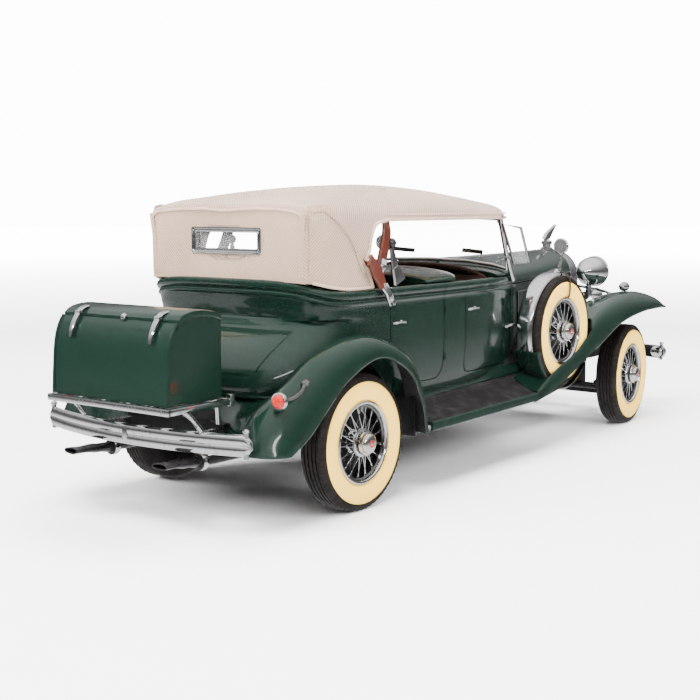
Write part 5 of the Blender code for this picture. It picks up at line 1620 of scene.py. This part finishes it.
def trunk():
    """Curved-back trunk with a separate lid, clasps, lock and edge bindings."""
    back = [(p.x, p.y) for p in curve([(y, z, 0) for y, z in TRUNK_BACK], 30)]
    arc = [(p.x, p.y) for p in curve([(y, z, 0) for y, z in TRUNK_ARC], 40)]
    rim = [(y, z - 1.3) for y, z in arc]
    case = Mesh()
    outline = back + rim + [(TRUNK_FRONT, TRUNK_FOOT)]
    spread = [(-1, 0.35), (-0.985, 0), (0.985, 0), (1, 0.35)]
    middle = (-115, 42)

    def ring(x, shrink, shape):
        return [(x, lerp(y, middle[0], shrink / 12.0), lerp(z, middle[1], shrink / 12.0))
                for y, z in shape]
    case.grid([ring(TRUNK_HALF * t, s, outline) for t, s in spread], "paint", loop=True, ends=True)
    box = case.object("trunk_case", 35)
    inner = [(y + 1, z) for y, z in back[2:-2]]
    inner = [(inner[0][0], TRUNK_FOOT + 1)] + inner + [(inner[-1][0], 60), (TRUNK_FRONT - 1, 60),
                                                          (TRUNK_FRONT - 1, TRUNK_FOOT + 1)]
    hollow = prism("trunk_hollow", inner, -TRUNK_HALF + 1, TRUNK_HALF - 1)
    hollow.data.materials.clear()
    hollow.data.materials.append(FINISHES["trim"][0])
    cut(box, [hollow])
    remove(hollow)
    fit(box, "car", "trunk_body")
    under = [(y, z - 1) for y, z in reversed(arc)]
    lid = Mesh().grid([ring(TRUNK_HALF * t, s * 0.4, arc + under) for t, s in spread], "paint",
                      loop=True, ends=True).object("trunk_lid_shell", 35)
    fit(lid, "trunk_lid", "trunk_lid")
    trims = Mesh()
    for side in (1, -1):
        line = [(side * (TRUNK_HALF - 0.1), y, z) for y, z in back]
        trims.tube(line, 0.42, "paint", 8)
        line = [(side * (TRUNK_HALF - 0.1), y - 0.05, z - 1.35) for y, z in arc]
        trims.tube(line, 0.3, "paint", 8)
    seam = [(x, back[-1][0] - 0.1, back[-1][1] - 0.9) for x in (-TRUNK_HALF, TRUNK_HALF)]
    trims.tube(seam, 0.42, "paint", 8)
    trims.fit("trunk_beading")
    lid_part = Mesh()
    for side in (1, -1):
        x = side * 13.5
        strap = curve([(x, -118.2, 52.45), (x, -119.8, 52), (x, -121, 51), (x, -122.3, 49.3),
                       (x, -123.3, 47.2), (x, -123.7, 45.4)], 16)
        lid_part.bar(strap, (1, 0, 0), [lerp(1.9, 1.0, k / 15) for k in range(16)], 0.5, "chrome",
                     0.2)
        lid_part.tube([(x - 0.8, -120.9, 51.1), (x + 0.8, -120.9, 51.1)], 0.5, "chrome", 12)
    lid_part.lathe([(0, 0.6), (0.5, 0.5), (0.8, 0.2), (0.85, -0.2), (0, -0.4)], "chrome",
                   (1.9, -120.7, 50.9), (0, -0.8, 0.6), 20)
    fit(lid_part.object("trunk_clasps"), "trunk_lid")


def rack():
    """Chromed platform with slats and end posts, braced down to the bumper arms."""
    deck, half, back, front = Mesh(), 20.6, -125.4, -104.0
    low, high = 30, 31.1
    for x in (-half + 0.7, half - 0.7):
        deck.block((x - 0.7, back, low - 0.3), (x + 0.7, front, high + 0.2), "chrome", 0.3)
        deck.block((x - 0.9, front - 0.9, low - 0.6), (x + 0.9, front + 0.7, high + 1.3), "chrome",
                   0.35)
    for k in range(5):
        x = lerp(-half + 4.2, half - 4.2, k / 4)
        deck.block((x - 1.1, back + 1, low + 0.1), (x + 1.1, front - 0.4, high), "chrome", 0.2)
    for y in (back + 0.75, front - 0.75):
        deck.block((-half, y - 0.7, low - 0.35), (half, y + 0.7, high + 0.25), "chrome", 0.35)
    for k in range(34):
        x = lerp(-half + 1, half - 1, k / 33)
        deck.block((x - 0.32, back - 0.02, low + 0.15), (x + 0.32, back + 0.3, high - 0.1),
                   "dull_chrome", 0.1)
    for side in (1, -1):
        deck.tube(curve(at(side, (19.9, -120, 30.3), (20, -117.4, 28.4),
                         (20, -114.2, 25)), 14), 0.65, "chrome", 12)
        deck.tube(at(side, (16, -104.5, 30.2), (15, -103, 24.6)), 0.7, "chrome", 12)
    deck.fit("rack_deck", 35, node="luggage_rack")


def exhausts():
    """Two tail pipes with a clamp and a flattened fishtail."""
    for hand, side in sides():
        rows = []
        for y, half, tall, z in ((-78, 1.15, 1.15, 16.3), (-106, 1.15, 1.15, 16.3),
                                 (-108.6, 1.15, 1.15, 16.4), (-108.7, 2, 2, 16.4),
                                 (-109.5, 2.15, 2.15, 16.4), (-110.3, 2, 2, 16.4),
                                 (-110.4, 1.3, 1.3, 16.5), (-112, 1.5, 1.3, 16.6),
                                 (-114, 2.1, 1.05, 16.8), (-116, 2.35, 1.15, 17),
                                 (-119, 2.3, 0.75, 17.2), (-122.9, 2.5, 0.85, 17.4),
                                 (-122.9, 2.2, 0.55, 17.4), (-121, 2, 0.45, 17.3)):
            x = side * (15.6 if y > -108 else 15.2)
            rows.append([(x + half * c, y, z + tall * s) for c, s in circle(28)])
        pipe = Mesh().grid(rows, lambda r, c: "chrome" if 2 <= r <= 4 else "steel", loop=True, ends=True)
        pipe.fit(f"fishtail_{hand}", 30, node=f"exhaust_{hand}")


def frame_finishes():
    """Procedural finishes for the model's own nodes that stay in view."""
    stay = {
        "chassis_frame": "black", "front_axle": "black", "rear_axle": "black", "engine": "steel",
        "floor_pan": "matting", "steering_column": "gloss_black", "tie_rod": "steel",
        "knuckle_right": "steel", "knuckle_left": "steel",
    }
    for name, finish in stay.items():
        for slot in frame["nodes"][name].material_slots:
            slot.material = FINISHES[finish][0]


# ---------------------------------------------------------------- stage

def stage():
    """Pale floor and dome, a soft overhead sky, softboxes and the photograph's camera."""
    floor = pale_floor()
    wide, tall, sides_round = 4, 3, 48
    ring = circle(sides_round, wide)
    floor_mesh = bpy.data.meshes.new("studio_floor")
    floor_mesh.from_pydata([(x, y, 0) for x, y in ring], [], [list(range(sides_round))])
    dome_mesh = bpy.data.meshes.new("studio_dome")
    points = [(x, y, z) for z in (-0.02, tall) for x, y in ring]
    faces = [[k, (k + 1) % sides_round, sides_round + (k + 1) % sides_round, sides_round + k]
             for k in range(sides_round)]
    dome_mesh.from_pydata(points, [], faces + [list(range(sides_round, 2 * sides_round))])
    glow = bpy.data.materials.new("pale_backdrop")
    glow.use_nodes = True
    shader = glow.node_tree.nodes["Principled BSDF"]
    shader.inputs["Base Color"].default_value = (0, 0, 0, 1)
    shader.inputs["Specular IOR Level"].default_value = 0.0
    shader.inputs["Emission Color"].default_value = (1, 1, 1, 1)
    shader.inputs["Emission Strength"].default_value = 14.0
    for mesh, material in ((floor_mesh, floor), (dome_mesh, glow)):
        mesh.materials.append(material)
        obj = bpy.data.objects.new(mesh.name, mesh)
        bpy.context.scene.collection.objects.link(obj)
        obj.visible_glossy = False
    obj.visible_diffuse = obj.visible_shadow = obj.visible_transmission = False
    sky()
    for name, place, size, power in (("key", (0.10, -0.50, 0.85), (0.55, 0.25), 26),
                                     ("right", (0.85, 0.05, 0.50), (0.5, 0.3), 10),
                                     ("left", (-0.45, -0.75, 0.50), (0.5, 0.3), 20),
                                     ("over", (0.05, 0.25, 0.95), (0.7, 0.4), 22),
                                     ("strip", (0.75, -0.55, 0.42), (0.9, 0.035), 3)):
        light = bpy.data.lights.new(name, "AREA")
        light.shape = "RECTANGLE"
        light.energy, light.size, light.size_y = power, *size
        lamp = bpy.data.objects.new(name, light)
        lamp.location = place
        aim = Vector((0, 0, 0.04)) - Vector(place)
        lamp.rotation_euler = aim.to_track_quat("-Z", "Y").to_euler()
        lamp.visible_glossy = name == "strip"
        bpy.context.scene.collection.objects.link(lamp)
    data = bpy.data.cameras.new("camera")
    data.lens, data.sensor_width, data.clip_start = 63.07, 36.0, 0.01
    camera = bpy.data.objects.new("camera", data)
    camera.location = (0.2150, -0.3151, 0.0768)
    camera.rotation_euler = (math.radians(83.21), 0, math.radians(37.12))
    bpy.context.scene.collection.objects.link(camera)
    bpy.context.scene.camera = camera


def pale_floor():
    """Matt white, glowing softly far from the car so that it meets the dome."""
    f = Finish("pale_floor", (0.90, 0.90, 0.90), 0.8, 0.0, Specular_IOR_Level=0.1)
    length = f.nodes.new("ShaderNodeVectorMath")
    length.operation = "LENGTH"
    f.links.new(f.place, length.inputs[0])
    f.links.new(f.ramp(length.outputs["Value"], 0, 14, 0.42, 1.6),
                f.shader.inputs["Emission Strength"])
    f.set("Emission Color", (1, 1, 1, 1))
    return f.material


def sky():
    """World light: bright overhead, darker near the horizon and below."""
    world = bpy.data.worlds.new("studio")
    world.use_nodes = True
    nodes, links = world.node_tree.nodes, world.node_tree.links
    parts = nodes.new("ShaderNodeSeparateXYZ")
    links.new(nodes.new("ShaderNodeTexCoord").outputs["Generated"], parts.inputs[0])
    ramp = nodes.new("ShaderNodeValToRGB")
    stops = ramp.color_ramp.elements
    stops[0].position, stops[0].color = 0.32, (0.85, 0.85, 0.85, 1)
    stops[1].position, stops[1].color = 1, (1, 1, 1, 1)
    for place, value in ((0.44, 0.18), (0.5, 0.06), (0.60, 0.14), (0.72, 0.40), (0.86, 0.9)):
        stops.new(place).color = (value, value, value, 1)
    height = nodes.new("ShaderNodeMapRange")
    height.inputs["From Min"].default_value = -1.0
    links.new(parts.outputs[2], height.inputs["Value"])
    links.new(height.outputs["Result"], ramp.inputs["Fac"])
    background = nodes["Background"]
    links.new(ramp.outputs["Color"], background.inputs["Color"])
    background.inputs["Strength"].default_value = 1.6
    bpy.context.scene.world = world


body()
hood()
radiator()
fenders()
rear_apron()
wheels()
spare_fittings()
bows()
canvas()
windscreen()
seats()
bumper("front_bumper", 118.6, 125.5, (19.4, 24.3), "front_bumper")
bumper("rear_bumper", -113.7, -119.5, (20.2, 25.3), "rear_bumper")
headlamps()
tail_lamps()
trunk()
rack()
exhausts()
frame_finishes()
stage()
